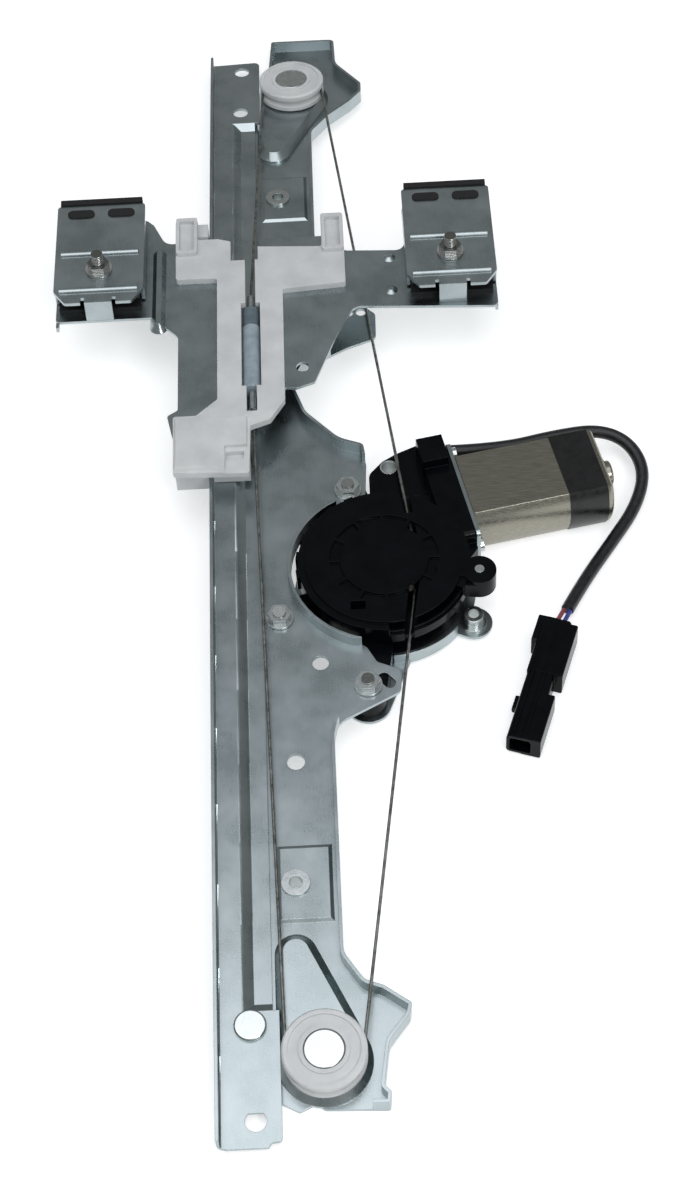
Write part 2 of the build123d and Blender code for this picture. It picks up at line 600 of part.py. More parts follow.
# Drum cover: ribbed black disc over the drum's chamber, with two slots for the cables
cover_low = base_top + 0.05
chamber_top = drum_top + 0.5
slot_half = 2.2
slot_roof = {"upper": 27.0, "lower": 16.0}  # how far along each cable its slot stays roofed
rim_ribs, rim_ribs_from, rim_ribs_span = 6, 112.0, 90.0
shelf_radius = 27.0         # inside this the cover is full height
shelf_level = -1.0
slot_drop = 3.4             # the upper cable leaves the drum sinking under the arch
with BuildPart() as drum_cover:
    with BuildSketch(drive.offset(cover_low)):
        Circle(disc_radius)
    extrude(amount=cover_top - 1.2 - cover_low)
    with BuildSketch(drive.offset(cover_top - 1.2)):
        Circle(disc_radius - 3.5)
        Circle(hub_radius + 5, mode=Mode.SUBTRACT)
        Circle(hub_radius)
    extrude(amount=1.2)
    with BuildSketch(drive.offset(cover_top - 1.2)):
        with PolarLocations(hub_radius + 2, 12):
            Rectangle(8, 1.6)
    extrude(amount=1.2)
    with BuildSketch(drive.offset(cover_low)):
        with PolarLocations(disc_radius, rim_ribs, start_angle=rim_ribs_from, angular_range=rim_ribs_span):
            Rectangle(2.4, 4.5)
    extrude(amount=cover_top - 2.0 - cover_low)
    with BuildSketch(drive.offset(shelf_level)):
        with BuildLine():
            Polyline((0, 0), (1.2 * disc_radius, -0.62 * disc_radius), (1.2 * disc_radius, -1.5 * disc_radius),
                     (0.02 * disc_radius, -1.5 * disc_radius), close=True)
        make_face()
        Circle(shelf_radius, mode=Mode.SUBTRACT)
    extrude(amount=cover_top, mode=Mode.SUBTRACT)
    with BuildSketch(drive.offset(shelf_level)):
        for rib_radius in (shelf_radius + 4.5, disc_radius - 1.0):
            Circle(rib_radius)
            Circle(rib_radius - 1.2, mode=Mode.SUBTRACT)
        with BuildLine():
            Polyline((0, 0), (1.2 * disc_radius, -0.62 * disc_radius), (1.2 * disc_radius, -1.5 * disc_radius),
                     (0.02 * disc_radius, -1.5 * disc_radius), close=True)
        make_face(mode=Mode.INTERSECT)
    extrude(amount=2.0)
    with BuildSketch(drive.offset(cover_low)):
        with Locations(local(housing_lug)):
            Circle(housing_lug_radius)
        with Locations((shelf_radius - 4, local(housing_lug)[1] + 4)):
            Circle(housing_lug_radius * 1.2)
        make_hull()
    extrude(amount=cover_top - 2.4 - cover_low)
    with BuildSketch(drive.offset(cover_low)):
        with Locations(local(housing_lug)):
            Circle(housing_lug_radius)
    extrude(amount=cover_top - cover_low)
    with BuildSketch(drive.offset(cover_top - 2.4)):
        with Locations(local(housing_lug)):
            Circle(housing_lug_radius - 2)
        with Locations((shelf_radius - 1, local(housing_lug)[1] + 3)):
            Circle(2.2)
        make_hull()
    extrude(amount=2.4)
    with BuildSketch(drive.offset(cover_low)):
        Circle(drum_rim + 0.6)
    extrude(amount=chamber_top - cover_low, mode=Mode.SUBTRACT)
    for side, level in (("upper", upper_turn), ("lower", lower_turn)):
        run = Vector(pulley_groove - drum_x - drum_groove, pulley_ys[side] - drum_y)
        slant = math.degrees(math.atan2(run.Y, run.X))
        with BuildSketch(drive.offset(level - slot_drop)):
            with Locations(Location((drum_groove, 0), slant)):
                Rectangle(60, 2 * slot_half, align=(Align.MIN, Align.CENTER))
        extrude(amount=chamber_top - level + slot_drop, mode=Mode.SUBTRACT)
        with BuildSketch(drive.offset(level - slot_drop)):
            with Locations(Location((drum_groove, 0), slant)):
                with Locations((slot_roof[side], 0)):
                    Rectangle(60, 2 * slot_half, align=(Align.MIN, Align.CENTER))
        extrude(amount=20, mode=Mode.SUBTRACT)
    with BuildSketch(motor_axis.offset(-worm_back - wall - fit_gap)):
        Rectangle(2 * (worm_room + 1.3 + fit_gap), 2 * (worm_room + 1.3 + fit_gap))
    extrude(amount=120, mode=Mode.SUBTRACT)
    with BuildSketch(motor_axis.offset(neck_start - fit_gap)):
        with Locations((-1.0, 0)):
            RectangleRounded(2 * (motor_plate_half - 1 + fit_gap), 2 * (can_flat - 1.3 + fit_gap), 3)
    extrude(amount=40, mode=Mode.SUBTRACT)
    with Locations(drive.offset(cover_top + 1) * Location((*local(housing_lug), 0))):
        Hole(2.3, depth=cover_top + 2 - cover_low)
    with BuildSketch(drive.offset(cover_low - 1)):
        with Locations(window_spot):
            Rectangle(*window_size)
    extrude(amount=cover_top - cover_low + 2, mode=Mode.SUBTRACT)
keep("drum_cover", drum_cover.part)

with BuildPart() as lug_pin:
    with Locations(drive.offset(cover_low) * Location((*local(housing_lug), 0))):
        Cylinder(2.3 - 0.02, cover_top - cover_low + 0.6, align=(Align.CENTER, Align.CENTER, Align.MIN))
keep("lug_pin", lug_pin.part)

# Spindle pressed into the case, with drum and wheel turning on it
with BuildPart() as spindle:
    with Locations(drive.offset(case_low + 2)):
        Cylinder(spindle_radius, chamber_top - fit_gap - case_low - 2, align=(Align.CENTER, Align.CENTER, Align.MIN))
    chamfer(spindle.edges().group_by(Axis.Z)[-1], 0.5)
keep("spindle", spindle.part)

with BuildPart() as cable_drum:
    with Locations(drive.offset(drum_low)):
        Cylinder(drum_rim, drum_top - drum_low, align=(Align.CENTER, Align.CENTER, Align.MIN))
    with BuildSketch(drive.offset(lower_turn - 1.0)):
        Circle(drum_rim + 1)
        Circle(drum_groove - cable_radius - 0.12, mode=Mode.SUBTRACT)
    extrude(amount=upper_turn - lower_turn + 2.0, mode=Mode.SUBTRACT)
    with Locations(drive.offset(drum_low)):
        Cylinder(9.0, drum_low - wheel_top, align=(Align.CENTER, Align.CENTER, Align.MAX))
    with Locations(drive.offset(drum_top + 1)):
        Hole(spindle_radius + shaft_gap, depth=40)
keep("cable_drum", cable_drum.part)
with BuildPart() as drum_cable:
    for index in range(1, drum_turns - 1):
        with Locations(drive.offset(lower_turn + index * turn_pitch)):
            Torus(drum_groove - 0.1, cable_radius)
keep("drum_cable", drum_cable.part)

tooth_root = wheel_radius - 1.2 * wheel_module
tooth_tip = wheel_radius + 0.9 * wheel_module
with BuildSketch() as tooth:
    with BuildLine():
        Polyline((tooth_root - 0.5, -0.95), (tooth_root, -0.92), (tooth_tip, -0.36), (tooth_tip, 0.36),
                 (tooth_root, 0.92), (tooth_root - 0.5, 0.95), close=True)
    make_face()
with BuildPart() as worm_wheel:
    with BuildSketch(drive.offset(wheel_low)):
        Circle(tooth_root)
        with PolarLocations(0, wheel_teeth):
            add(tooth.sketch)
    extrude(amount=wheel_top - wheel_low)
    with BuildSketch(drive.offset(wheel_top - 1.8)):
        Circle(tooth_root - 3)
        Circle(11, mode=Mode.SUBTRACT)
    extrude(amount=1.8, mode=Mode.SUBTRACT)
    with Locations(drive.offset(wheel_top + 1)):
        Hole(spindle_radius + shaft_gap, depth=12)
keep("worm_wheel", worm_wheel.part)

# Motor: flatted can, its plate and screws, black band, end cap and everything that turns inside


def can_section(shrink):
    """Section of the flatted can, seen along the motor's axis, drawn smaller by shrink."""
    with BuildSketch() as face:
        Circle(can_radius - shrink)
        Rectangle(4 * can_radius, 2 * (can_flat - shrink), mode=Mode.INTERSECT)
    return face.sketch


with BuildPart() as motor_can:
    with BuildSketch(motor_axis.offset(can_start)):
        add(can_section(0))
    extrude(amount=can_length)
    with BuildSketch(motor_axis.offset(can_start)):
        add(can_section(can_wall))
    extrude(amount=can_length - can_wall, mode=Mode.SUBTRACT)
    fillet(motor_can.faces().sort_by(Axis(motor_axis.origin, motor_axis.z_dir))[-1].edges(), can_end_radius)
    with Locations(motor_axis.offset(can_start + can_length + 1)):
        Hole(shaft_radius + 1.0, depth=5)
keep("motor_can", motor_can.part)

with BuildPart() as motor_band:
    with BuildSketch(motor_axis.offset(can_start + band_start)):
        add(can_section(-0.35))
        add(can_section(0.0), mode=Mode.SUBTRACT)
        with Locations((0, -can_flat - 1)):
            Rectangle(4 * can_radius, 2.0, mode=Mode.SUBTRACT)
    extrude(amount=band_length)
keep("motor_band", motor_band.part)

with BuildPart() as end_cap:
    with Locations(motor_axis.offset(can_start + can_length)):
        Cylinder(8.5, 1.0, align=(Align.CENTER, Align.CENTER, Align.MIN))
        Cylinder(6.3, cap_depth, align=(Align.CENTER, Align.CENTER, Align.MIN))
    fillet(end_cap.faces().sort_by(Axis(motor_axis.origin, motor_axis.z_dir))[-1].edges(), 1.2)
    with Locations(motor_axis.offset(can_start + can_length - 1)):
        Cylinder(shaft_radius + shaft_gap, cap_depth - 0.5, align=(Align.CENTER, Align.CENTER, Align.MIN), mode=Mode.SUBTRACT)
keep("end_cap", end_cap.part)

with BuildPart() as motor_plate:
    with BuildSketch(motor_axis.offset(can_start - motor_plate_thick)):
        with Locations((-1.0, 0)):
            RectangleRounded(2 * motor_plate_half, 2 * (can_flat - 0.6), 2.5)
        Circle(9.0, mode=Mode.SUBTRACT)
        with Locations(*screw_spots):
            Circle(2.1, mode=Mode.SUBTRACT)
    extrude(amount=motor_plate_thick)
keep("motor_plate", motor_plate.part)

with BuildPart() as motor_screws:
    for spot in screw_spots:
        with Locations(motor_axis.offset(can_start) * Location((*spot, 0))):
            Cylinder(3.2, 2.6, align=(Align.CENTER, Align.CENTER, Align.MIN))
            Cylinder(2.0, 8.0, align=(Align.CENTER, Align.CENTER, Align.MAX))
keep("motor_screws", motor_screws.part)

with BuildPart() as magnets:
    with BuildSketch(motor_axis.offset(can_start + 16)):
        Circle(can_radius - can_wall)
        Circle(can_radius - can_wall - 6.0, mode=Mode.SUBTRACT)
        Rectangle(4 * can_radius, 2 * (can_flat - can_wall - 0.02), mode=Mode.INTERSECT)
    extrude(amount=44)
keep("magnets", magnets.part)

with BuildPart() as armature:
    with Locations(motor_axis.offset(-worm_back)):
        Cylinder(shaft_radius, can_start + can_length + worm_back + cap_depth - 2.0, align=(Align.CENTER, Align.CENTER, Align.MIN))
    with BuildSketch(motor_axis.offset(can_start + 20)):
        Circle(can_flat - can_wall - 1.0)
        with PolarLocations(can_flat - can_wall - 1.0, 8):
            Rectangle(5, 1.6, mode=Mode.SUBTRACT)
    extrude(amount=36)
    with Locations(motor_axis.offset(can_start + 4)):
        Cylinder(6.0, 11, align=(Align.CENTER, Align.CENTER, Align.MIN))
keep("armature", armature.part)

# Bolts that hold the motor, with flange nuts on the rail's side
nut_height = 4.6
nut_flats = 10.0
nut_flange_radius = 6.6
nut_flange = 1.3
for name in ("motor_bolts", "flange_nuts"):
    with BuildPart() as fasteners:
        for spot in bolt_spots:
            seat = plate_face - sink(spot[1]) + 0.16
            place = drive.offset(seat) * Location((*local(spot), 0))
            if name == "flange_nuts":
                with Locations(place):
                    Cylinder(nut_flange_radius, nut_flange, align=(Align.CENTER, Align.CENTER, Align.MIN))
                with BuildSketch(Plane(place)):
                    RegularPolygon(nut_flats / 2, 6, major_radius=False)
                extrude(amount=nut_height)
                with Locations(place * Location((0, 0, nut_height + 1))):
                    Hole(bolt_radius + 0.02, depth=nut_height + 3)
            else:
                with Locations(place * Location((0, 0, nut_height + 1.2))):
                    Cylinder(bolt_radius, nut_height + 1.2 + seat - bracket_top + bracket_thick,
                             align=(Align.CENTER, Align.CENTER, Align.MAX))
                with Locations(drive.offset(bracket_top - bracket_thick) * Location((*local(spot), 0))):
                    Cylinder(bolt_radius + 1.6, 1.2, align=(Align.CENTER, Align.CENTER, Align.MAX))
    keep(name, fasteners.part)

# Sash: stamped plate whose ends are the rear jaws of the glass clamps
low = -sash_y
sash_front = sash_back + sheet
jaw_left = clamp_centres["left"][0]
jaw_right = clamp_centres["right"][0]
jaw_y = clamp_centres["left"][1] - sash_y
half_w = clamp_width / 2
half_h = clamp_height / 2
bolt_y = jaw_y - clamp_bolt_drop
sash_outline = rounded_outline([
    (jaw_left - half_w, jaw_y - half_h, 2), (jaw_left + half_w + 3.5, jaw_y - half_h, 3), (-61.5, 78 + low, 5),
    (-61.3, 26 + low, 2), (-66.6, 22.5 + low, 2), (-63.5, 6 + low, 3), (-26, 6 + low, 2), (-20, 24 + low, 3),
    (-8, 38.1 + low, 2), (-1.9, 37.6 + low, 2), (7.2, 41.1 + low, 2), (18.7, 72.7 + low, 8), (28.6, 93.8 + low, 6),
    (jaw_right + half_w, jaw_y - half_h - 4, 3), (jaw_right + half_w, jaw_y + half_h, 2),
    (jaw_right - half_w, jaw_y + half_h, 2), (jaw_right - half_w, 134 + low, 5), (25, 136 + low, 3), (20, 148 + low, 3),
    (-58, 150 + low, 3), (-68, 146 + low, 6), (jaw_left + half_w + 3.5, jaw_y + half_h - 4, 4),
    (jaw_left + half_w, jaw_y + half_h, 2), (jaw_left - half_w, jaw_y + half_h, 2)])
with BuildPart() as sash_plate:
    with BuildSketch(sash_plane.offset(sash_back)):
        add(sash_outline)
        with Locations((1.2, 52 + low)):
            Circle(3.2, mode=Mode.SUBTRACT)
        with Locations((tensioner_x, 58 + low)):
            Rectangle(10.5, 128, mode=Mode.SUBTRACT)
        with Locations((jaw_left, bolt_y), (jaw_right, bolt_y)):
            Circle(clamp_bolt_radius + bolt_gap, mode=Mode.SUBTRACT)
    extrude(amount=sheet)
    bead = sash_plane.offset(sash_back) * Location((bead_x, 113 + low, 0))
    with BuildSketch(Plane(bead)):
        SlotOverall(bead_length, 2 * (bead_height + sheet), rotation=90)
    extrude(amount=bead_height + sheet, taper=bead_taper)
    with BuildSketch(Plane(bead).offset(-sheet)):
        SlotOverall(bead_length, 2 * (bead_height + sheet), rotation=90)
    extrude(amount=bead_height + sheet, taper=bead_taper, mode=Mode.SUBTRACT)
    for y in dimple_ys:
        with Locations(sash_plane.offset(sash_front - 0.2) * Location((dimple_x, y + low, 0))):
            Cone(3.6, 1.4, 1.6, align=(Align.CENTER, Align.CENTER, Align.MIN))
    for x0, sign in ((jaw_left, -1), (jaw_right, 1)):
        with BuildSketch(sash_plane.offset(sash_back)):
            with Locations((x0 + sign * (half_w - sheet / 2), jaw_y - half_h - sash_tip / 2 + 2)):
                Rectangle(sheet, sash_tip + 3)
        extrude(amount=-sash_tip)
keep("sash_plate", sash_plate.part)

# Glass clamps: rubber pads, front jaws with side flanges and beads, screws and nuts
rear_pad = sash_front
front_pad = rear_pad + pad_thick + glass_gap
jaw_back = front_pad + pad_thick
for side, centre in clamp_centres.items():
    x0 = centre[0]
    with BuildPart() as rear:
        with BuildSketch(sash_plane.offset(rear_pad)):
            with Locations((x0, jaw_y + 1)):
                Rectangle(clamp_width - 4, clamp_height - 10)
            with Locations((x0, bolt_y)):
                Circle(6.0, mode=Mode.SUBTRACT)
        extrude(amount=pad_thick)
    keep(f"{side}_rear_pad", rear.part)
    with BuildPart() as front:
        with BuildSketch(sash_plane.offset(front_pad)):
            with Locations((x0, jaw_y + 1)):
                Rectangle(clamp_width - 4, clamp_height - 10)
            with Locations((x0, jaw_y + half_h - 1.0)):
                Rectangle(clamp_width - 3, 10)
            with Locations((x0, bolt_y)):
                Circle(6.0, mode=Mode.SUBTRACT)
        extrude(amount=pad_thick)
        with BuildSketch(sash_plane.offset(jaw_back)):
            with Locations((x0, jaw_y + half_h + 2.0)):
                Rectangle(clamp_width - 3, 3.6)
        extrude(amount=jaw_thick + 1.0)
        with BuildSketch(sash_plane.offset(jaw_back)):
            for sign in (-1, 1):
                with Locations((x0 + sign * lug_step, jaw_y + half_h - lug_drop)):
                    SlotOverall(lug_length, lug_width)
        extrude(amount=jaw_thick + 0.8)
    keep(f"{side}_front_pad", front.part)
    with BuildPart() as jaw:
        with BuildSketch(sash_plane.offset(jaw_back)):
            with BuildLine():
                FilletPolyline((x0 - half_w, jaw_y + half_h), (x0 + half_w, jaw_y + half_h),
                               (x0 + half_w, jaw_y - half_h + 9), (x0 + half_w - 6, jaw_y - half_h),
                               (x0 - half_w + 6, jaw_y - half_h), (x0 - half_w, jaw_y - half_h + 9), radius=2.0, close=True)
            make_face()
            for sign in (-1, 1):
                with Locations((x0 + sign * lug_step, jaw_y + half_h - lug_drop)):
                    SlotOverall(lug_length, lug_width, mode=Mode.SUBTRACT)
            for sign in (-1, 1):
                with Locations((x0 + sign * (strap_width / 2 + 1), jaw_y - half_h)):
                    Rectangle(2, 7, mode=Mode.SUBTRACT)
        extrude(amount=jaw_thick)
        with BuildSketch(sash_plane.offset(rear_pad + 1.2)):
            for sign in (-1, 1):
                with Locations((x0 + sign * (half_w - jaw_thick / 2), jaw_y + 1)):
                    Rectangle(jaw_thick, clamp_height - 24)
        extrude(amount=jaw_back - rear_pad - 1.2)
        with BuildSketch(sash_plane.offset(rear_pad + 0.1)):
            with Locations((x0, jaw_y - half_h + jaw_thick / 2)):
                Rectangle(strap_width, jaw_thick)
        extrude(amount=jaw_back - rear_pad - 0.1)
        for bead in (bolt_y + 12.5, bolt_y - 15.0):
            with Locations(sash_plane.offset(jaw_back + jaw_thick - 0.4) * Location((x0, bead, 0), (0, 90, 0))):
                Cylinder(bead_radius, clamp_width - 6)
        with Locations(sash_plane.offset(jaw_back + 6) * Location((x0, bolt_y, 0))):
            Hole(clamp_bolt_radius + bolt_gap, depth=16)
        with BuildSketch(sash_plane.offset(jaw_back - 3)):
            with Locations((x0, jaw_y + 1)):
                Rectangle(clamp_width - 2 * jaw_thick - 0.3, clamp_height - 10)
        extrude(amount=3, mode=Mode.SUBTRACT)
    keep(f"{side}_clamp_jaw", jaw.part)
    with BuildPart() as bolt:
        top = sash_plane.offset(jaw_back + jaw_thick + 0.04) * Location((x0, bolt_y, 0))
        with Locations(top):
            Cylinder(6.8, 1.4, align=(Align.CENTER, Align.CENTER, Align.MIN))
        with BuildSketch(Plane(top)):
            RegularPolygon(5.0, 6, major_radius=False)
        extrude(amount=5.0)
        with Locations(top * Location((0, 0, 5.0 + stud_end))):
            Cylinder(clamp_bolt_radius, jaw_back + jaw_thick + 5.0 + stud_end - sash_back + 4.2,
                     align=(Align.CENTER, Align.CENTER, Align.MAX))
    keep(f"{side}_clamp_bolt", bolt.part)
with BuildPart() as clamp_nuts:
    for x0 in (jaw_left, jaw_right):
        place = sash_plane.offset(sash_back - 0.04) * Location((x0, bolt_y, 0))
        with BuildSketch(Plane(place)):
            RegularPolygon(5.0, 6, major_radius=False)
            Circle(clamp_bolt_radius + 0.02, mode=Mode.SUBTRACT)
        extrude(amount=-3.6)
keep("clamp_nuts", clamp_nuts.part)

# Slider: white moulding over the sash plate with two guide shoes on the rail's left edge
shoe_gap = 0.35
shoe_half = 5.0             # half length of a guide shoe
slider_low = sash_front
with BuildPart() as slider:
    with BuildSketch(sash_plane.offset(slider_low)):
        with BuildLine():
            FilletPolyline((-63, -19 + low), (-26, -21 + low), (-25.2, 10 + low), (-15.3, 14 + low), (-7.9, 27 + low),
                           (-7.6, 106 + low), (25, 108.5 + low), (25, 162 + low), (13.3, 162 + low), (13.3, 136.5 + low),
                           (-19.4, 138.7 + low), (-41, 146 + low), (-51.5, 146 + low), (-51.5, 161.5 + low),
                           (-63.2, 161.5 + low), (-62.7, 116.5 + low), (-41.4, 116 + low), (-41.4, 29 + low),
                           (-52, 18.4 + low), (-63.3, 18.4 + low), radius=1.5, close=True)
        make_face()
        half_slot = barrel_radius + fit_gap
        add(box_between(tensioner_x - half_slot, barrel_low - 1 + low, tensioner_x + half_slot, cap_high + 1 + low),
            mode=Mode.SUBTRACT)
        add(box_between(tensioner_x - 2.6, 20 + low, tensioner_x + 2.6, slot_mouth + 1 + low), mode=Mode.SUBTRACT)
        add(box_between(tensioner_x - 10, slot_mouth + low, tensioner_x + 4.2, 170 + low), mode=Mode.SUBTRACT)
        with Locations((-33, -9 + low)):
            Rectangle(9, 5, mode=Mode.SUBTRACT)
    extrude(amount=slider_face - slider_low)
    for prong_x, prong_y in prong_spots:
        prong = sash_plane.offset(slider_face) * Location((prong_x, prong_y + low, 0))
        with BuildSketch(Plane(prong)):
            RectangleRounded(prong_width, prong_length, 1.2)
            RectangleRounded(prong_width - 3.2, prong_length - 4.4, 0.8, mode=Mode.SUBTRACT)
        extrude(amount=prong_rise)
    with BuildSketch(sash_plane.offset(slider_face)):
        add(box_between(-62.5, -18 + low, -26.5, 16 + low))
    extrude(amount=foot_rise, taper=30)
    with BuildSketch(sash_plane.offset(slider_face - 0.5)):
        add(box_between(-38, -21 + low, -24, -3.5 + low))
    extrude(amount=4, mode=Mode.SUBTRACT)
    with BuildSketch(sash_plane.offset(slider_face - 1)):
        with Locations((-33, -9 + low)):
            Rectangle(9, 4, mode=Mode.ADD)
    extrude(amount=4, mode=Mode.SUBTRACT)
    for shoe_y, shoe_right in ((-8.0, -26.0), (156.5, -52.0)):
        shoe = rail_plane(0, shoe_y)
        hook = sheet + shoe_gap
        with BuildSketch(shoe.offset(-hook - 2.2)):
            add(box_between(-62.5, -shoe_half, rail_left - shoe_gap, shoe_half))
        extrude(amount=slider_face + hook)
        with BuildSketch(shoe.offset(-hook - 2.2)):
            add(box_between(-62.5, -shoe_half, rail_left + 5, shoe_half))
        extrude(amount=2.2)
        with BuildSketch(shoe.offset(shoe_gap)):
            add(box_between(-62.5, -shoe_half, shoe_right, shoe_half))
        extrude(amount=slider_face - shoe_gap - 2)
        with BuildSketch(shoe.offset(-hook)):
            add(box_between(rail_left - shoe_gap, -3 * shoe_half, rail_left + sheet + shoe_gap, 3 * shoe_half))
        extrude(amount=rail_flange + hook + shoe_gap, mode=Mode.SUBTRACT)
keep("slider", slider.part)

# Cable tensioner and ends in the slider
lie = Plane(sash_plane.offset(cable_lift).origin + sash_plane.x_dir * tensioner_x, x_dir=(1, 0, 0), z_dir=sash_plane.y_dir)
with BuildPart() as tensioner_barrel:
    with Locations(lie.offset(barrel_low + low)):
        Cylinder(barrel_radius, barrel_high - barrel_low, align=(Align.CENTER, Align.CENTER, Align.MIN))
    chamfer(tensioner_barrel.edges().filter_by(GeomType.CIRCLE), 0.7)
keep("tensioner_barrel", tensioner_barrel.part)
with BuildPart() as tensioner_cap:
    with Locations(lie.offset(barrel_high + low)):
        Cylinder(barrel_radius - 0.2, cap_high - barrel_high, align=(Align.CENTER, Align.CENTER, Align.MIN))
    fillet(tensioner_cap.edges().filter_by(GeomType.CIRCLE).group_by(Axis.Y)[-1], 0.8)
keep("tensioner_cap", tensioner_cap.part)
with BuildPart() as cable_ends:
    with Locations(lie.offset(cap_high + low)):
        Cylinder(ferrule_radius, ferrule_high - cap_high, align=(Align.CENTER, Align.CENTER, Align.MIN))
    with Locations(lie.offset(barrel_low + low)):
        Cylinder(ferrule_radius, barrel_low - ferrule_low, align=(Align.CENTER, Align.CENTER, Align.MAX))
keep("cable_ends", cable_ends.part)


def tube_along(points, radius, corner):
    """Round tube through points with arcs at its corners."""
    with BuildLine() as path:
        FilletPolyline(*points, radius=corner)
    start = path.wires()[0] if path.wires() else Wire(path.edges())
    with BuildPart() as tube:
        with BuildSketch(Plane(origin=start @ 0, z_dir=start % 0)):
            Circle(radius)
        sweep(path=start)
    return tube.part


# Lift cables between sash and pulleys, and return cables round the pulleys to the drum
groove_level = pulley_lift + pulley_width / 2
for side, y in pulley_ys.items():
    foot = rail_plane(0, y)
    groove = foot.offset(groove_level)
    sign = 1 if side == "upper" else -1
    end_y = ferrule_high if side == "upper" else ferrule_low
    start = lie.offset(end_y + low).origin
    exit_point = groove.origin - groove.x_dir * pulley_groove
    gap = (exit_point - start).normalized() * 0.05
    length = (exit_point - start).length - 0.1
    with BuildPart() as lift:
        with BuildSketch(Plane(origin=start + gap, z_dir=exit_point - start)):
            Circle(cable_radius)
        extrude(amount=length)
    keep(f"{side}_lift_cable", lift.part)
    level = upper_turn if side == "upper" else lower_turn
    tangent = drive.offset(level).origin + drive.x_dir * (drum_groove + 0.15)
    entry = groove.origin + groove.x_dir * pulley_groove
    with BuildPart() as wrap:
        with BuildSketch(Plane(origin=entry, x_dir=groove.x_dir, z_dir=groove.y_dir)):
            Circle(cable_radius)
        revolve(axis=Axis(groove.origin, groove.z_dir), revolution_arc=180 * sign)
        with BuildSketch(Plane(origin=entry, z_dir=tangent - entry)):
            Circle(cable_radius)
        extrude(amount=(tangent - entry).length)
    keep(f"{side}_return_cable", wrap.part)

# Loom from the motor to its plug, lying on the bench
loom_route = [(72, 9.5, 18.5), (98, 13.5, 18), (126, 20.5, 18), (147, 22.0, 15.5),
              (162.5, 13.5, 11.5), (168.5, -4.5, 7.5), (162, -24, 3.8),
              (148, -45, 3.4), (132.5, -68, 3.6), (122.5, -86.5, 5.0)]
corner_radii = []
for before, here, after in zip(loom_route, loom_route[1:], loom_route[2:]):
    run_in = Vector(*here) - Vector(*before)
    run_out = Vector(*after) - Vector(*here)
    half_turn = math.radians(run_in.get_angle(run_out)) / 2
    corner_radii.append(0.45 * min(run_in.length, run_out.length) / math.tan(half_turn))
print("loom radii", [round(r, 1) for r in corner_radii])
keep("loom_sleeve", tube_along(loom_route, sleeve_radius, corner_radii))
plug_top = Vector(116.8, -98.0, 7.2)
plug_low = Vector(93.5, -165.0, 7.2)
along = (plug_low - plug_top).normalized()
for index, name in enumerate(("loom_wire_red", "loom_wire_blue")):
    side_step = Vector(-along.Y, along.X, 0) * (1.7 if index else -1.7)
    leave = (plug_top - Vector(*loom_route[-1])).normalized()
    first = Vector(*loom_route[-1]) + side_step * 0.9 + leave * 0.6
    last = plug_top + side_step - leave * 0.6
    with BuildPart() as wire:
        with BuildSketch(Plane(origin=first, z_dir=last - first)):
            Circle(wire_radius)
        extrude(amount=(last - first).length)
    keep(name, wire.part)
plug_plane = Plane(origin=plug_top, x_dir=Vector(-along.Y, along.X, 0), z_dir=along)
plug_length = (plug_low - plug_top).length
# Blocks on the plug: left and right side, height, and their near and far ends as shares of its length
plug_blocks = ((-6.8, 10.2, 13.4, 0.03, 0.46), (-9.4, 0, 12.6, 0.0, 0.2), (0, 9.6, 12.6, 0.62, 1.0),
               (-8.8, 0, 4.0, 0.64, 0.74))
with BuildPart() as connector:
    with BuildSketch(plug_plane):
        RectangleRounded(13, 12, 2)
    extrude(amount=plug_length)
    for left, right, height, near, far in plug_blocks:
        with BuildSketch(plug_plane.offset(near * plug_length)):
            with Locations(((left + right) / 2, 0)):
                RectangleRounded(right - left, height, 1.0)
        extrude(amount=(far - near) * plug_length)
    with BuildSketch(plug_plane.offset(0.04 * plug_length)):
        for step in (-3.6, 1.8):
            with Locations((step, 6.0)):
                Rectangle(1.4, 2.2)
    extrude(amount=0.92 * plug_length)
    with BuildSketch(plug_plane.offset(plug_length - 20)):
        RectangleRounded(10, 9.0, 1.5)
    extrude(amount=20.5, mode=Mode.SUBTRACT)
keep("connector", connector.part)
with BuildPart() as terminals:
    for step in (-3.2, 3.2):
        with BuildSketch(plug_plane.offset(plug_length - 20)):
            with Locations((step, 0)):
                Rectangle(2.8, 0.9)
        extrude(amount=12)
keep("connector_terminals", terminals.part)

# Everything moves together so that the box's centre lies over the origin
spans = [part.bounding_box() for name, part in pieces.items() if not name.startswith(("loom", "connector"))]
shift_x = -(min(box.min.X for box in spans) + max(box.max.X for box in spans)) / 2
shift_y = -(min(box.min.Y for box in spans) + max(box.max.Y for box in spans)) / 2
shift_z = -min(box.min.Z for box in spans)
os.makedirs("parts", exist_ok=True)
for name, part in pieces.items():
    placed = part.moved(Location((shift_x, shift_y, shift_z)))
    placed.label = name
    export_step(placed, f"parts/{name}.step")
print("shift", round(shift_x, 3), round(shift_y, 3), round(shift_z, 3))
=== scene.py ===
import logging
import math
from abc import ABC, abstractmethod
from dataclasses import dataclass
from enum import Enum

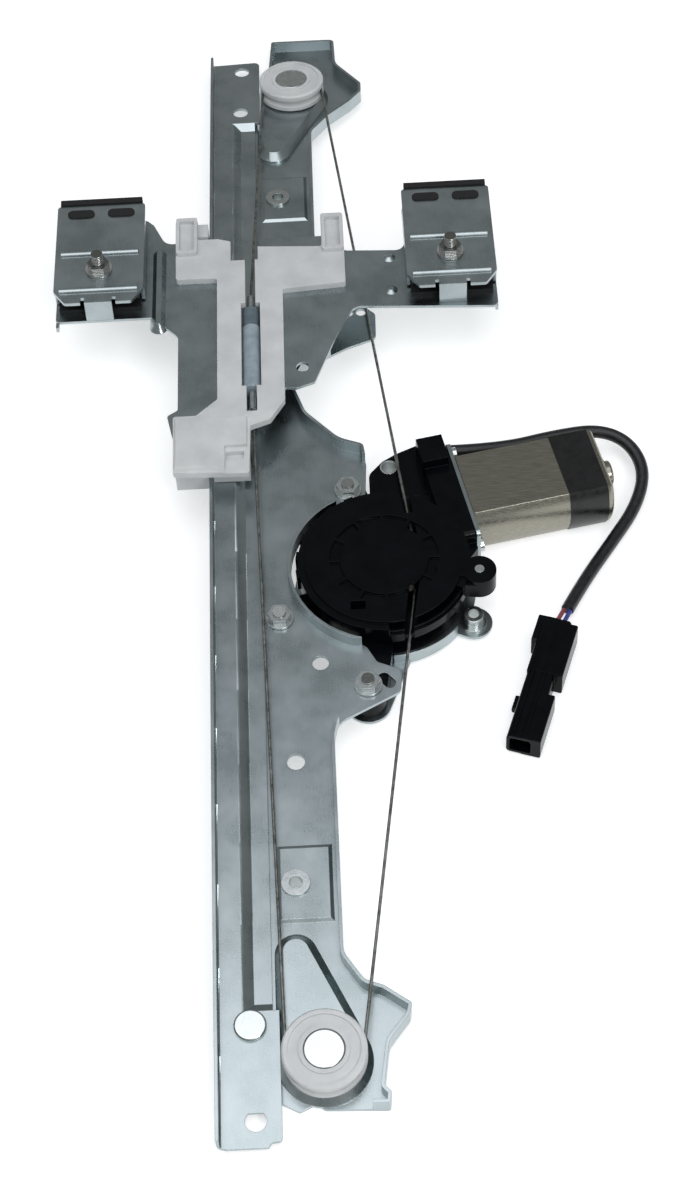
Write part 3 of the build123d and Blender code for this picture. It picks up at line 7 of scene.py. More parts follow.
import bmesh
import bpy
import numpy as np
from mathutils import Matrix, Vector


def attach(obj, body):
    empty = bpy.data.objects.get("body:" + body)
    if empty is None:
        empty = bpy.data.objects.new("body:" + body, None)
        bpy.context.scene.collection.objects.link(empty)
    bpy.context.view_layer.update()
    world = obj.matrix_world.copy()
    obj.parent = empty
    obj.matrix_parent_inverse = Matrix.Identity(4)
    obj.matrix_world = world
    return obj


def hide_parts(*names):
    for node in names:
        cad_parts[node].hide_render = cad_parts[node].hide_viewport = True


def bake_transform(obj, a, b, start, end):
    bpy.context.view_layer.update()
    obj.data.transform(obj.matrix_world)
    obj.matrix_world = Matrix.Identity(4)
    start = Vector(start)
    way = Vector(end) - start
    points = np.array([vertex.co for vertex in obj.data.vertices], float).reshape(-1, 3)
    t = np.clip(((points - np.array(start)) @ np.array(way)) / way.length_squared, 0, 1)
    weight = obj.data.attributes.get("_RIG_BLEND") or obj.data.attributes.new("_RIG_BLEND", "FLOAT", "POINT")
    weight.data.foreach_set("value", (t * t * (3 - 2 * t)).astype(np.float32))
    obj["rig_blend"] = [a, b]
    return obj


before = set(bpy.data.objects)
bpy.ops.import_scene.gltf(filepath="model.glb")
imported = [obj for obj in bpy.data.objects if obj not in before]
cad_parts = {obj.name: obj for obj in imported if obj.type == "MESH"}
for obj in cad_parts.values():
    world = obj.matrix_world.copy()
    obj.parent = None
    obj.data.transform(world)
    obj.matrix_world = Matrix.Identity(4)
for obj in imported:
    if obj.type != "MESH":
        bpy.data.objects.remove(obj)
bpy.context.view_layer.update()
log = logging.getLogger("regulator")

MM = 0.001
# The drawing's origin, which is the crest of the rail's arch on the pulleys' line, in the frame of the part
DRAWING_ORIGIN = Vector((-0.013583, 0.007910, 0.000037))
# Noise seldom leaves this band
NOISE_LOW, NOISE_HIGH = 0.3, 0.7
# Share of its strength that each finer layer of noise keeps
NOISE_FALLOFF = 0.55
# Rays that look for an edge round each point
EDGE_SAMPLES = 6


def linear(shade: str) -> tuple[float, float, float, float]:
    """Turn an sRGB hex colour into the linear colour that the shader takes.

    Args:
        shade: Colour as "#rrggbb".

    Returns:
        Linear red, green, blue and an alpha of 1.
    """
    channels = [int(shade[i:i + 2], 16) / 255 for i in (1, 3, 5)]
    red, green, blue = (c / 12.92 if c <= 0.04045 else ((c + 0.055) / 1.055) ** 2.4 for c in channels)
    return red, green, blue, 1.0


def drawn(x: float, y: float, z: float) -> Vector:
    """Place a point of the drawing, in millimetres from its origin, in the frame of the part.

    Args:
        x: Millimetres across the rail.
        y: Millimetres along the rail.
        z: Millimetres over the bench.

    Returns:
        The point in metres.
    """
    return Vector((x, y, z)) * MM + DRAWING_ORIGIN


def add_node(tree: bpy.types.NodeTree, kind: str, inputs: dict[str | int, object],
             **settings: object) -> bpy.types.Node:
    """Add a shader node with its settings, values and links.

    Args:
        tree: Node tree that gets the node.
        kind: The node's type name.
        inputs: Socket name or number against a value, or an output socket to link.
        settings: Properties of the node itself.

    Returns:
        The new node.
    """
    node = tree.nodes.new(kind)
    for name, value in settings.items():
        setattr(node, name, value)
    for socket, source in inputs.items():
        if isinstance(source, bpy.types.NodeSocket):
            tree.links.new(source, node.inputs[socket])
        else:
            node.inputs[socket].default_value = source
    return node


class Grain(Enum):
    """Direction in which a surface's fine lines run."""

    NONE = (1.0, 1.0, 1.0)
    ALONG_RAIL = (1.0, 0.06, 1.0)
    ALONG_MOTOR = (0.06, 1.0, 1.0)


@dataclass(frozen=True)
class Finish(ABC):
    """A real material and the way its surface was made. Each kind has the material's name as its title."""

    @abstractmethod
    def shade(self, tree: bpy.types.NodeTree, spot: bpy.types.NodeSocket) -> bpy.types.Node:
        """Build the shader.

        Args:
            tree: The material's node tree.
            spot: Position on the piece in metres.

        Returns:
            The shader node.
        """

    def noise(self, tree: bpy.types.NodeTree, spot: bpy.types.NodeSocket, size: float, detail: float = 2.0,
              grain: Grain = Grain.NONE) -> bpy.types.NodeSocket:
        """Lay a cloudy pattern over the piece.

        Args:
            tree: The material's node tree.
            spot: Position on the piece in metres.
            size: Size of one cloud in millimetres.
            detail: How many finer layers it holds.
            grain: Direction in which the clouds are drawn out.

        Returns:
            Value from 0 to 1.
        """
        if grain is not Grain.NONE:
            spot = add_node(tree, "ShaderNodeVectorMath", {0: spot, 1: grain.value}, operation="MULTIPLY").outputs[0]
        return add_node(tree, "ShaderNodeTexNoise", {
            "Vector": spot,
            "Scale": 1 / (size * MM),
            "Detail": detail,
            "Roughness": NOISE_FALLOFF}).outputs["Fac"]

    def between(self, tree: bpy.types.NodeTree, factor: bpy.types.NodeSocket, low: str, high: str,
                narrow: float = NOISE_LOW) -> bpy.types.NodeSocket:
        """Colour that runs from one shade to another.

        Args:
            tree: The material's node tree.
            factor: Value from 0 to 1.
            low: Shade at the low end.
            high: Shade at the high end.
            narrow: How much of each end of the factor is left flat.

        Returns:
            The colour.
        """
        ramp = add_node(tree, "ShaderNodeValToRGB", {"Fac": factor})
        first, last = ramp.color_ramp.elements
        first.position, first.color = narrow, linear(low)
        last.position, last.color = 1 - narrow, linear(high)
        return ramp.outputs["Color"]

    def span(self, tree: bpy.types.NodeTree, factor: bpy.types.NodeSocket, low: float,
             high: float) -> bpy.types.NodeSocket:
        """Value that runs from low to high with the factor.

        Args:
            tree: The material's node tree.
            factor: Value near 0.5 on average.
            low: Value at the low end of the noise.
            high: Value at its high end.

        Returns:
            The value.
        """
        return add_node(tree, "ShaderNodeMapRange", {
            "Value": factor,
            "From Min": NOISE_LOW,
            "From Max": NOISE_HIGH,
            "To Min": low,
            "To Max": high}).outputs["Result"]

    def relief(self, tree: bpy.types.NodeTree, height: bpy.types.NodeSocket, depth: float,
               strength: float = 1.0, edge: float = 0.0) -> bpy.types.NodeSocket:
        """Bump of a real depth, over edges that may be broken.

        Args:
            tree: The material's node tree.
            height: Height from 0 to 1.
            depth: Depth of the pattern in millimetres.
            strength: Share of the bump that shows.
            edge: Radius in millimetres at which the piece's edges catch the light, or 0 for sharp ones.

        Returns:
            The bent normal.
        """
        inputs = {"Height": height, "Distance": depth * MM, "Strength": strength}
        if edge:
            inputs["Normal"] = add_node(tree, "ShaderNodeBevel", {"Radius": edge * MM}, samples=EDGE_SAMPLES).outputs[0]
        return add_node(tree, "ShaderNodeBump", inputs).outputs[0]

    def make(self) -> bpy.types.Material:
        """Build the material, once for each finish."""
        material = bpy.data.materials.get(self.title)
        if material is None:
            material = bpy.data.materials.new(self.title)
            material.use_nodes = True
            tree = material.node_tree
            tree.nodes.clear()
            spot = add_node(tree, "ShaderNodeTexCoord", {}).outputs["Object"]
            shader = self.shade(tree, spot)
            add_node(tree, "ShaderNodeOutputMaterial", {"Surface": shader.outputs[0]})
        return material

    def dress(self, *nodes: str) -> None:
        """Give the finish to CAD nodes.

        Args:
            nodes: Names of the nodes.
        """
        for name in nodes:
            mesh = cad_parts[name].data
            mesh.materials.clear()
            mesh.materials.append(self.make())
            log.info("%s: %s", name, self.title)


@dataclass(frozen=True)
class PressedZinc(Finish):
    """Zinc-plated pressed steel sheet: cool light grey, cloudy where the drawing oil and the bath left it
    uneven, with fine lines along the press direction, soft broad reflections and edges that catch the light.
    The lines of a real sheet are finer, and are drawn as coarse as they need to show."""

    low: str = "#9ba5a7"
    high: str = "#b1babd"
    cloud: float = 22.0
    line: float = 0.5
    mark: float = 0.2
    peel: float = 0.9
    peel_depth: float = 0.05
    peel_strength: float = 0.3
    fold: float = 0.3
    flat: float = 0.34
    rough: tuple[float, float] = (0.24, 0.34)
    grain: Grain = Grain.ALONG_RAIL
    title: str = "zinc plated pressed steel"

    def shade(self, tree: bpy.types.NodeTree, spot: bpy.types.NodeSocket) -> bpy.types.Node:
        """Cloudy plating over fine drawing lines."""
        clouds = self.noise(tree, spot, self.cloud, 6.0)
        lines = self.noise(tree, spot, self.line, 3.0, self.grain)
        mixed = add_node(tree, "ShaderNodeMapRange", {
            "Value": lines,
            "To Min": -0.5 * self.mark,
            "To Max": 0.5 * self.mark}).outputs[0]
        plating = add_node(tree, "ShaderNodeMath", {0: clouds, 1: mixed}, operation="ADD").outputs[0]
        return add_node(tree, "ShaderNodeBsdfPrincipled", {
            "Base Color": self.between(tree, plating, self.low, self.high, self.flat),
            "Metallic": 1.0,
            "Roughness": self.span(tree, plating, *self.rough),
            "Normal": self.relief(tree, self.noise(tree, spot, self.peel), self.peel_depth, self.peel_strength,
                                  self.fold)})


@dataclass(frozen=True)
class BrightZinc(Finish):
    """Bright zinc on small turned and headed steel: nearly white metal with tight reflections and a grain
    of light handling marks."""

    low: str = "#bfc4c4"
    high: str = "#cfd4d4"
    mark: float = 3.5
    depth: float = 0.015
    strength: float = 0.2
    edge: float = 0.25
    rough: tuple[float, float] = (0.2, 0.28)
    title: str = "bright zinc plated steel"

    def shade(self, tree: bpy.types.NodeTree, spot: bpy.types.NodeSocket) -> bpy.types.Node:
        """Clean plating with small marks."""
        marks = self.noise(tree, spot, self.mark, 4.0)
        return add_node(tree, "ShaderNodeBsdfPrincipled", {
            "Base Color": self.between(tree, marks, self.low, self.high),
            "Metallic": 1.0,
            "Roughness": self.span(tree, marks, *self.rough),
            "Normal": self.relief(tree, marks, self.depth, self.strength, self.edge)})


@dataclass(frozen=True)
class ThreadedZinc(Finish):
    """Rolled screw thread, zinc plated: fine rings across the screw, with painted shade between the crests and painted
    light on them.
    """

    axis: tuple[float, float, float] = (0.0, 0.0, 1.0)
    pitch: float = 1.0
    # Painted shade in the thread's roots and painted light on its crests
    low: str = "#7d7f7c"
    high: str = "#d8dad8"
    flat: float = 0.15
    cloud: float = 1.2
    depth: float = 0.35
    strength: float = 0.8
    rough: tuple[float, float] = (0.22, 0.34)
    title: str = "rolled thread in zinc plated steel"

    def shade(self, tree: bpy.types.NodeTree, spot: bpy.types.NodeSocket) -> bpy.types.Node:
        """Rings a thread pitch apart along the screw."""
        turn = 2 * math.pi / (self.pitch * MM)
        along = add_node(tree, "ShaderNodeVectorMath", {0: spot, 1: self.axis}, operation="DOT_PRODUCT")
        turns = add_node(tree, "ShaderNodeMath", {0: along.outputs["Value"], 1: turn}, operation="MULTIPLY")
        wave = add_node(tree, "ShaderNodeMath", {0: turns.outputs[0]}, operation="SINE")
        crest = add_node(tree, "ShaderNodeMapRange", {
            "Value": wave.outputs[0],
            "From Min": -1.0,
            "From Max": 1.0}).outputs["Result"]
        return add_node(tree, "ShaderNodeBsdfPrincipled", {
            # The rings' colour is painted shade in the roots and painted light on the crests, laid over the same bump
            "Base Color": self.between(tree, crest, self.low, self.high, self.flat),
            "Metallic": 1.0,
            "Roughness": self.span(tree, self.noise(tree, spot, self.cloud), *self.rough),
            "Normal": self.relief(tree, crest, self.depth, self.strength)})


@dataclass(frozen=True)
class NaturalNylon(Finish):
    """Natural nylon, moulded: milky white that lets light in a little at thin walls, with a matt skin."""

    low: str = "#c6c8ca"
    high: str = "#d6d8d9"
    flow: float = 14.0
    skin: float = 0.7
    depth: float = 0.04
    strength: float = 0.4
    rough: tuple[float, float] = (0.38, 0.5)
    ior: float = 1.53
    milk: float = 0.35
    milk_reach: float = 2.5
    milk_tint: tuple[float, float, float] = (1.0, 1.0, 0.95)
    title: str = "moulded natural nylon"

    def shade(self, tree: bpy.types.NodeTree, spot: bpy.types.NodeSocket) -> bpy.types.Node:
        """Milky body with faint flow clouds under a fine skin."""
        flow = self.noise(tree, spot, self.flow, 3.0)
        return add_node(tree, "ShaderNodeBsdfPrincipled", {
            "Base Color": self.between(tree, flow, self.low, self.high),
            "Roughness": self.span(tree, flow, *self.rough),
            "IOR": self.ior,
            "Subsurface Weight": self.milk,
            "Subsurface Radius": self.milk_tint,
            "Subsurface Scale": self.milk_reach * MM,
            "Normal": self.relief(tree, self.noise(tree, spot, self.skin), self.depth, self.strength)})


@dataclass(frozen=True)
class BlackMoulding(Finish):
    """Black glass-filled nylon, moulded: near black with a cool shine, its skin slightly uneven where the
    glass comes near the surface."""

    low: str = "#030407"
    high: str = "#080a0e"
    cloud: float = 9.0
    skin: float = 1.4
    depth: float = 0.04
    strength: float = 0.35
    edge: float = 0.5
    rough: tuple[float, float] = (0.16, 0.26)
    ior: float = 1.52
    shine: float = 0.1
    title: str = "moulded black glass filled nylon"

    def shade(self, tree: bpy.types.NodeTree, spot: bpy.types.NodeSocket) -> bpy.types.Node:
        """Dark glossy body with an uneven skin."""
        skin = self.noise(tree, spot, self.skin, 3.0)
        return add_node(tree, "ShaderNodeBsdfPrincipled", {
            "Base Color": self.between(tree, self.noise(tree, spot, self.cloud, 3.0), self.low, self.high),
            "Roughness": self.span(tree, skin, *self.rough),
            "IOR": self.ior,
            "Specular IOR Level": self.shine,
            "Normal": self.relief(tree, skin, self.depth, self.strength, self.edge)})


@dataclass(frozen=True)
class Rubber(Finish):
    """Moulded black rubber: soft black that hardly shines, with a dusty fine grain."""

    low: str = "#0b0b0d"
    high: str = "#1b1b1e"
    dust: float = 0.8
    depth: float = 0.06
    strength: float = 0.6
    rough: tuple[float, float] = (0.55, 0.75)
    ior: float = 1.5
    title: str = "moulded rubber"

    def shade(self, tree: bpy.types.NodeTree, spot: bpy.types.NodeSocket) -> bpy.types.Node:
        """Dull black with a dusty grain."""
        dust = self.noise(tree, spot, self.dust, 4.0)
        return add_node(tree, "ShaderNodeBsdfPrincipled", {
            "Base Color": self.between(tree, dust, self.low, self.high),
            "Roughness": self.span(tree, dust, *self.rough),
            "IOR": self.ior,
            "Normal": self.relief(tree, dust, self.depth, self.strength)})


@dataclass(frozen=True)
class DrawnSteel(Finish):
    """Deep-drawn bright steel of the motor can: warm grey, with fine lines along the draw, a soft band of
    light on its flats and edges that catch the light."""

    low: str = "#87857a"
    high: str = "#9c998e"
    line: float = 0.45
    depth: float = 0.01
    strength: float = 0.2
    edge: float = 0.5
    rough: tuple[float, float] = (0.24, 0.34)
    title: str = "deep drawn steel"

    def shade(self, tree: bpy.types.NodeTree, spot: bpy.types.NodeSocket) -> bpy.types.Node:
        """Fine lines along the draw."""
        lines = self.noise(tree, spot, self.line, 3.0, Grain.ALONG_MOTOR)
        return add_node(tree, "ShaderNodeBsdfPrincipled", {
            "Base Color": self.between(tree, lines, self.low, self.high),
            "Metallic": 1.0,
            "Roughness": self.span(tree, lines, *self.rough),
            "Normal": self.relief(tree, lines, self.depth, self.strength, self.edge)})


@dataclass(frozen=True)
class WoundWire(Finish):
    """Many thin wires side by side: dull metal, darkened in patches by the grease or varnish between them."""

    low: str
    high: str
    title: str
    wire: float = 0.5
    patch: float = 3.0
    depth: float = 0.03
    strength: float = 0.5
    rough: tuple[float, float] = (0.3, 0.5)

    def shade(self, tree: bpy.types.NodeTree, spot: bpy.types.NodeSocket) -> bpy.types.Node:
        """Dull wires with darker patches."""
        grease = self.noise(tree, spot, self.patch, 4.0)
        return add_node(tree, "ShaderNodeBsdfPrincipled", {
            "Base Color": self.between(tree, grease, self.low, self.high),
            "Metallic": 1.0,
            "Roughness": self.span(tree, grease, *self.rough),
            "Normal": self.relief(tree, self.noise(tree, spot, self.wire, 1.0), self.depth, self.strength)})


@dataclass(frozen=True)
class SoftPlastic(Finish):
    """Extruded or moulded soft plastic in one colour: even, with a slight shine and faint flow marks."""

    low: str
    high: str
    title: str
    gloss: float = 0.35
    mark: float = 5.0
    uneven: float = 0.12
    depth: float = 0.03
    strength: float = 0.4
    ior: float = 1.5

    def shade(self, tree: bpy.types.NodeTree, spot: bpy.types.NodeSocket) -> bpy.types.Node:
        """Even colour with faint marks."""
        marks = self.noise(tree, spot, self.mark, 3.0)
        return add_node(tree, "ShaderNodeBsdfPrincipled", {
            "Base Color": self.between(tree, marks, self.low, self.high),
            "Roughness": self.span(tree, marks, self.gloss, self.gloss + self.uneven),
            "IOR": self.ior,
            "Normal": self.relief(tree, marks, self.depth, self.strength)})


ZINC = PressedZinc()
BRIGHT = BrightZinc()
NYLON = NaturalNylon()
BLACK = BlackMoulding()
RUBBER = Rubber()
CAN = DrawnSteel()
# The threads run straight up from the carrier plate and from the sash plate, each tilted by the rail's arch
MOTOR_THREAD = ThreadedZinc(axis=(0.0, -0.023, 0.99974))
CLAMP_THREAD = ThreadedZinc(axis=(0.0, 0.024, 0.99971), title="rolled thread in zinc plated clamp screws")
# Dull grey wires with dark grease in the gaps
ROPE = WoundWire("#63655f", "#a3a5a2", "greased galvanised wire rope")
# Brown-red wires under clear varnish
WINDING = WoundWire("#8c5a38", "#b97a4c", "enamelled copper winding")
# Soft black that shines a little along its top
SLEEVE = SoftPlastic("#0c0c0e", "#1d1d20", "extruded black sleeve", 0.32, 2.5)
# Faded red and blue, even along the wire
RED_WIRE = SoftPlastic("#7a3540", "#94505c", "extruded red wire insulation")
BLUE_WIRE = SoftPlastic("#2f3a80", "#44509a", "extruded blue wire insulation")
# Black band, shrunk tight and so a little glossier than the sleeve
BAND = SoftPlastic("#0a0a0b", "#151517", "black shrink sleeve", 0.22)
# Ivory with a dull skin
IVORY = SoftPlastic("#c9c6ba", "#dad7cc", "moulded acetal", 0.4)
# Matt dark grey of pressed powder
FERRITE = SoftPlastic("#1b1b1c", "#29292b", "sintered ferrite", 0.6, 2.0)
# Grey-blue barrel and its darker cap, both with a slight shine
BARREL = SoftPlastic("#8796a0", "#a2afb8", "moulded grey-blue acetal", 0.3)
CAP = SoftPlastic("#55626a", "#6b7981", "moulded dark grey acetal", 0.3)


@dataclass(frozen=True)
class Softbox:
    """One soft lamp: its place and its aim in metres, its width and height in metres and its power in watts."""

    name: str
    spot: tuple[float, float, float]
    aim: tuple[float, float, float]
    size: tuple[float, float]
    power: float

    def hang(self) -> None:
        """Hang the lamp and turn it to its aim."""
        data = bpy.data.lights.new(self.name, "AREA")
        data.shape = "RECTANGLE"
        data.size, data.size_y = self.size
        data.energy = self.power
        lamp = bpy.data.objects.new(self.name, data)
        lamp.location = self.spot
        lamp.rotation_euler = (Vector(self.aim) - Vector(self.spot)).to_track_quat("-Z", "Y").to_euler()
        bpy.context.scene.collection.objects.link(lamp)


@dataclass(eq=False)
class Studio:
    """Pale floor, soft lamps and the camera at the photograph's place."""

    camera_spot: Vector = drawn(25.25088, -797.75983, 926.60476)
    camera_turn: tuple[float, float, float] = (38.09989188, 2.05868476, -2.11358503)
    lens: float = 73.3238
    film: float = 36.0
    nearest: float = 0.05
    farthest: float = 50.0
    floor_size: float = 12.0
    floor_shade: str = "#f2f3f4"
    floor_glow: float = 0.45
    # Height over the horizon against the linear light that comes from there
    low_sky: tuple[float, tuple] = (0.72, (0.27, 0.275, 0.27, 1))
    mid_sky: tuple[float, tuple] = (0.87, (0.37, 0.385, 0.40, 1))
    high_sky: tuple[float, tuple] = (0.98, (0.82, 0.85, 0.91, 1))
    lamps: tuple[Softbox, ...] = (
        Softbox("softbox_over", (-0.3, -0.58, 1.9), (-0.3, -0.58, 0.0), (2.2, 2.0), 18.0),
        Softbox("softbox_front", (0.9, -1.5, 1.3), (0.0, 0.0, 0.02), (0.6, 0.6), 12.0))

    def camera(self) -> None:
        """Stand the camera where the photograph was taken from."""
        data = bpy.data.cameras.new("camera")
        data.lens = self.lens
        data.sensor_width = self.film
        data.clip_start, data.clip_end = self.nearest, self.farthest
        camera = bpy.data.objects.new("camera", data)
        camera.location = self.camera_spot
        camera.rotation_euler = [math.radians(angle) for angle in self.camera_turn]
        bpy.context.scene.collection.objects.link(camera)
        bpy.context.scene.camera = camera

    def floor(self) -> None:
        """Lay a wide pale floor that shows nearly white and keeps the part's shadow."""
        half = self.floor_size / 2
        mesh = bpy.data.meshes.new("floor")
        mesh.from_pydata([(-half, -half, 0), (half, -half, 0), (half, half, 0), (-half, half, 0)], [], [(0, 1, 2, 3)])
        floor = bpy.data.objects.new("floor", mesh)
        bpy.context.scene.collection.objects.link(floor)
        material = bpy.data.materials.new("matt white backdrop")
        material.use_nodes = True
        tree = material.node_tree
        tree.nodes.clear()
        diffuse = add_node(tree, "ShaderNodeBsdfDiffuse", {"Color": linear(self.floor_shade)}).outputs[0]
        rays = add_node(tree, "ShaderNodeLightPath", {}).outputs
        seen = add_node(tree, "ShaderNodeMath", {0: rays["Is Camera Ray"], 1: rays["Is Glossy Ray"]},
                        operation="MAXIMUM").outputs[0]
        lift = add_node(tree, "ShaderNodeMath", {0: seen, 1: self.floor_glow}, operation="MULTIPLY").outputs[0]
        glow = add_node(tree, "ShaderNodeEmission", {"Strength": lift}).outputs[0]
        both = add_node(tree, "ShaderNodeAddShader", {0: diffuse, 1: glow}).outputs[0]
        add_node(tree, "ShaderNodeOutputMaterial", {"Surface": both})
        mesh.materials.append(material)

    def world(self) -> None:
        """Light from all round, brighter overhead and darker low behind the part; the camera itself sees the
        floor's shade past its edge."""
        world = bpy.data.worlds.new("studio")
        world.use_nodes = True
        tree = world.node_tree
        tree.nodes.clear()
        way = add_node(tree, "ShaderNodeTexCoord", {}).outputs["Generated"]
        height = add_node(tree, "ShaderNodeSeparateXYZ", {0: way}).outputs["Z"]
        ramp = add_node(tree, "ShaderNodeValToRGB", {"Fac": height})
        bands = ramp.color_ramp.elements
        bands[0].position, bands[0].color = self.low_sky
        bands[1].position, bands[1].color = self.high_sky
        place, light = self.mid_sky
        bands.new(place).color = light
        rays = add_node(tree, "ShaderNodeLightPath", {}).outputs
        shade = add_node(tree, "ShaderNodeMixRGB", {
            "Fac": rays["Is Camera Ray"],
            "Color1": ramp.outputs[0],
            "Color2": linear(self.floor_shade)}).outputs[0]
        glow = add_node(tree, "ShaderNodeBackground", {"Color": shade}).outputs[0]
        add_node(tree, "ShaderNodeOutputWorld", {"Surface": glow})
        bpy.context.scene.world = world

    def build(self) -> None:
        """Set the whole studio up."""
        self.camera()
        self.floor()
        self.world()
        for lamp in self.lamps:
            lamp.hang()
        bpy.context.scene.view_settings.view_transform = "Standard"


@dataclass
class Rope:
    """Cable between sash, pulleys and drum: two lift runs of twisted wires and two return runs."""

    radius: float = 0.75
    groove: float = 0.20
    wires: int = 6
    lay: float = 9.0
    corners: int = 18
    step: float = 1.0

    def ends(self, name: str) -> tuple[Vector, Vector]:
        """Middles of a straight cable's two ends, the lower one first.

        Args:
            name: CAD node of the cable.

        Returns:
            Both points.
        """
        points = np.array([v.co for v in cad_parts[name].data.vertices])
        middle = (points[:, 1].min() + points[:, 1].max()) / 2
        low, high = (points[side].mean(axis=0) for side in (points[:, 1] < middle, points[:, 1] > middle))
        return Vector(low), Vector(high)

    def mesh(self, name: str, path: list[Vector]) -> bpy.types.Object:
        """Twist the wires along a path.

        Args:
            name: Name of the piece.
            path: Points about a step apart.

        Returns:
            The piece.
        """
        rows = []
        travelled = 0.0
        side = None
        for index, here in enumerate(path):
            before, after = path[max(index - 1, 0)], path[min(index + 1, len(path) - 1)]
            along = (after - before).normalized()
            side = Vector((0, 0, 1)) if side is None else side
            side = (side - along * side.dot(along)).normalized()
            other = along.cross(side)
            if index:
                travelled += (here - path[index - 1]).length
            phase = 2 * math.pi * travelled / (self.lay * MM)
            row = []
            for corner in range(self.corners):
                angle = 2 * math.pi * corner / self.corners
                lobe = 0.5 + 0.5 * math.cos(self.wires * (angle + phase))
                reach = self.radius * MM * ((1 - self.groove) + self.groove * lobe)
                row.append(here + (side * math.cos(angle) + other * math.sin(angle)) * reach)
            rows.append(row)
        shape = bmesh.new()
        rings = [[shape.verts.new(point) for point in row] for row in rows]
        for ring, following in zip(rings, rings[1:]):
            for corner in range(self.corners):
                beside = (corner + 1) % self.corners
                shape.faces.new((ring[corner], ring[beside], following[beside], following[corner]))
        shape.faces.new(reversed(rings[0]))
        shape.faces.new(rings[-1])
        shape.normal_update()
        data = bpy.data.meshes.new(name)
        shape.to_mesh(data)
        shape.free()
        data.polygons.foreach_set("use_smooth", [True] * len(data.polygons))
        data.materials.append(ROPE.make())
        piece = bpy.data.objects.new(name, data)
        bpy.context.scene.collection.objects.link(piece)
        return piece

    def straight(self, start: Vector, end: Vector) -> list[Vector]:
        """Points a step apart from start to end.

        Args:
            start: First point.
            end: Last point.

        Returns:
            The points.
        """
        count = max(2, round((end - start).length / (self.step * MM)))
        return [start.lerp(end, index / count) for index in range(count + 1)]

    def build(self) -> None:
        """Twist the lift runs and dress the return runs."""
        for side in ("upper", "lower"):
            name = f"{side}_lift_cable"
            low, high = self.ends(name)
            held, pulled = (high, low) if side == "upper" else (low, high)
            run = self.mesh(f"{side}_lift_rope", self.straight(low, high))
            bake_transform(run, "rail", "sash", start=tuple(held), end=tuple(pulled))
            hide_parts(name)
            log.info("%s: twisted wires", name)
        ROPE.dress("upper_return_cable", "lower_return_cable")


@dataclass
class Loom:
    """Motor's lead: a black sleeve with two wires that end in the plug."""

    sleeve_radius: float = 3.2
    # Points that guide the sleeve's line, from the motor to the wires
    route: tuple[tuple[float, float, float], ...] = (
        (72, 7.5, 16.5), (98, 9.5, 14), (126, 16.5, 14), (148, 19.5, 13.5), (162.5, 12.0, 11),
        (168.5, -4.5, 7.5), (162, -24, 3.8), (148, -45, 3.4), (132.5, -68, 3.6), (122.5, -86.5, 5.0))
    # Length of the smooth line as a share of the straight lines from point to point
    smoothing: float = 0.97

    def build(self) -> None:
        """Lay the sleeve and dress wires and plug."""
        points = [drawn(*point) for point in self.route]
        data = bpy.data.curves.new("sleeve", "CURVE")
        data.dimensions = "3D"
        data.bevel_depth = self.sleeve_radius * MM
        data.bevel_resolution = 4
        data.use_fill_caps = True
        data.resolution_u = 16
        spline = data.splines.new("NURBS")
        spline.points.add(len(points) - 1)
        for point, spot in zip(spline.points, points):
            point.co = (*spot, 1.0)
        spline.order_u = 3
        spline.use_endpoint_u = True
        spline.use_smooth = True
        sleeve = bpy.data.objects.new("sleeve", data)
        bpy.context.scene.collection.objects.link(sleeve)
        data.materials.append(SLEEVE.make())
        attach(sleeve, "rail")
        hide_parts("loom_sleeve")
        RED_WIRE.dress("loom_wire_red")
        BLUE_WIRE.dress("loom_wire_blue")
        BLACK.dress("connector")
        BRIGHT.dress("connector_terminals")


@dataclass
class Frame:
    """Rail, carrier plate and what is riveted to them."""

    def build(self) -> None:
        """Dress the pressed steel and its rivets."""
        ZINC.dress("guide_rail", "carrier_plate", "motor_bracket")
        BRIGHT.dress("rail_rivet", "rivet_nuts", "lug_bushing", "upper_pulley_rivet", "lower_pulley_rivet")
        NYLON.dress("upper_pulley", "lower_pulley")


@dataclass
class Drive:
    """Motor, gear case, drum and their bolts."""

    def build(self) -> None:
        """Dress the drive's pieces."""
        BLACK.dress("gear_housing", "drum_cover")
        CAN.dress("motor_can", "end_cap")
        BAND.dress("motor_band")
        ZINC.dress("motor_plate")
        BRIGHT.dress("motor_screws", "flange_nuts", "lug_pin", "spindle", "housing_ring")
        MOTOR_THREAD.dress("motor_bolts")
        IVORY.dress("cable_drum", "worm_wheel")
        FERRITE.dress("magnets")
        WINDING.dress("armature")
        ROPE.dress("drum_cable")


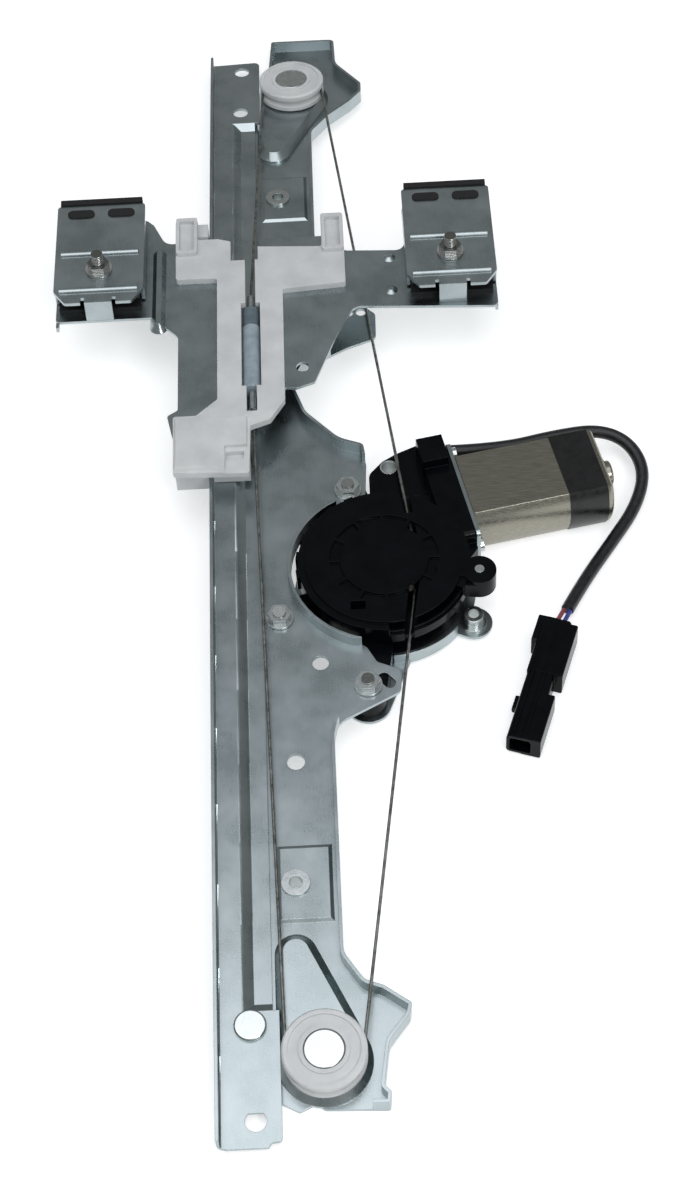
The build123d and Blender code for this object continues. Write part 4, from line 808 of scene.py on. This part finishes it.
@dataclass
class Sash:
    """Sash plate, clamps, slider and tensioner, which ride up and down together."""

    slot_left: float = -29.55
    slot_right: float = -19.05
    mouth_left: float = -34.3
    slot_end: float = 121.0
    mouth_low: float = 129.0
    over_edge: float = 156.0
    under_plate: float = 24.0
    over_plate: float = 42.0
    weld: float = 0.001
    crease: float = 28.0

    def notch(self) -> bpy.types.Object:
        """Block that fills the slot and its open mouth, wider at the left over the slot's end."""
        outline = [(self.slot_left, self.slot_end), (self.slot_right, self.slot_end),
                   (self.slot_right, self.over_edge), (self.mouth_left, self.over_edge),
                   (self.mouth_left, self.mouth_low), (self.slot_left, self.mouth_low)]
        count = len(outline)
        corners = [drawn(x, y, z) for z in (self.under_plate, self.over_plate) for x, y in outline]
        sides = [(i, (i + 1) % count, (i + 1) % count + count, i + count) for i in range(count)]
        data = bpy.data.meshes.new("notch")
        data.from_pydata(corners, [], [tuple(reversed(range(count))), tuple(range(count, 2 * count)), *sides])
        block = bpy.data.objects.new("notch", data)
        bpy.context.scene.collection.objects.link(block)
        return block

    def opened_plate(self) -> None:
        """Open the plate's slot through its top edge, where the lift cable comes in over the rail."""
        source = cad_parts["sash_plate"]
        shape = bmesh.new()
        shape.from_mesh(source.data)
        bmesh.ops.remove_doubles(shape, verts=shape.verts, dist=self.weld * MM)
        plate = bpy.data.objects.new("opened_sash_plate", bpy.data.meshes.new("opened_sash_plate"))
        shape.to_mesh(plate.data)
        shape.free()
        for normals in [layer for layer in plate.data.attributes if layer.name == "custom_normal"]:
            plate.data.attributes.remove(normals)
        bpy.context.scene.collection.objects.link(plate)
        notch = self.notch()
        cut = plate.modifiers.new("notch", "BOOLEAN")
        cut.object, cut.operation, cut.solver = notch, "DIFFERENCE", "EXACT"
        bpy.context.view_layer.update()
        result = bpy.data.meshes.new_from_object(plate.evaluated_get(bpy.context.evaluated_depsgraph_get()))
        plate.modifiers.clear()
        plate.data = result
        bpy.data.objects.remove(notch)
        result.polygons.foreach_set("use_smooth", [True] * len(result.polygons))
        result.set_sharp_from_angle(angle=math.radians(self.crease))
        result.materials.clear()
        result.materials.append(ZINC.make())
        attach(plate, "sash")
        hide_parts("sash_plate")

    def build(self) -> None:
        """Dress the sash's pieces."""
        self.opened_plate()
        ZINC.dress("left_clamp_jaw", "right_clamp_jaw")
        RUBBER.dress("left_rear_pad", "right_rear_pad", "left_front_pad", "right_front_pad")
        BRIGHT.dress("clamp_nuts", "cable_ends")
        CLAMP_THREAD.dress("left_clamp_bolt", "right_clamp_bolt")
        NYLON.dress("slider")
        BARREL.dress("tensioner_barrel")
        CAP.dress("tensioner_cap")


def main() -> None:
    """Build the sub-assemblies in order and report each piece."""
    logging.basicConfig(level=logging.INFO, format="%(message)s")
    for part in (Studio(), Loom(), Frame(), Drive(), Sash(), Rope()):
        part.build()
        log.info("%s done", type(part).__name__)


if __name__ == "__main__":
    main()
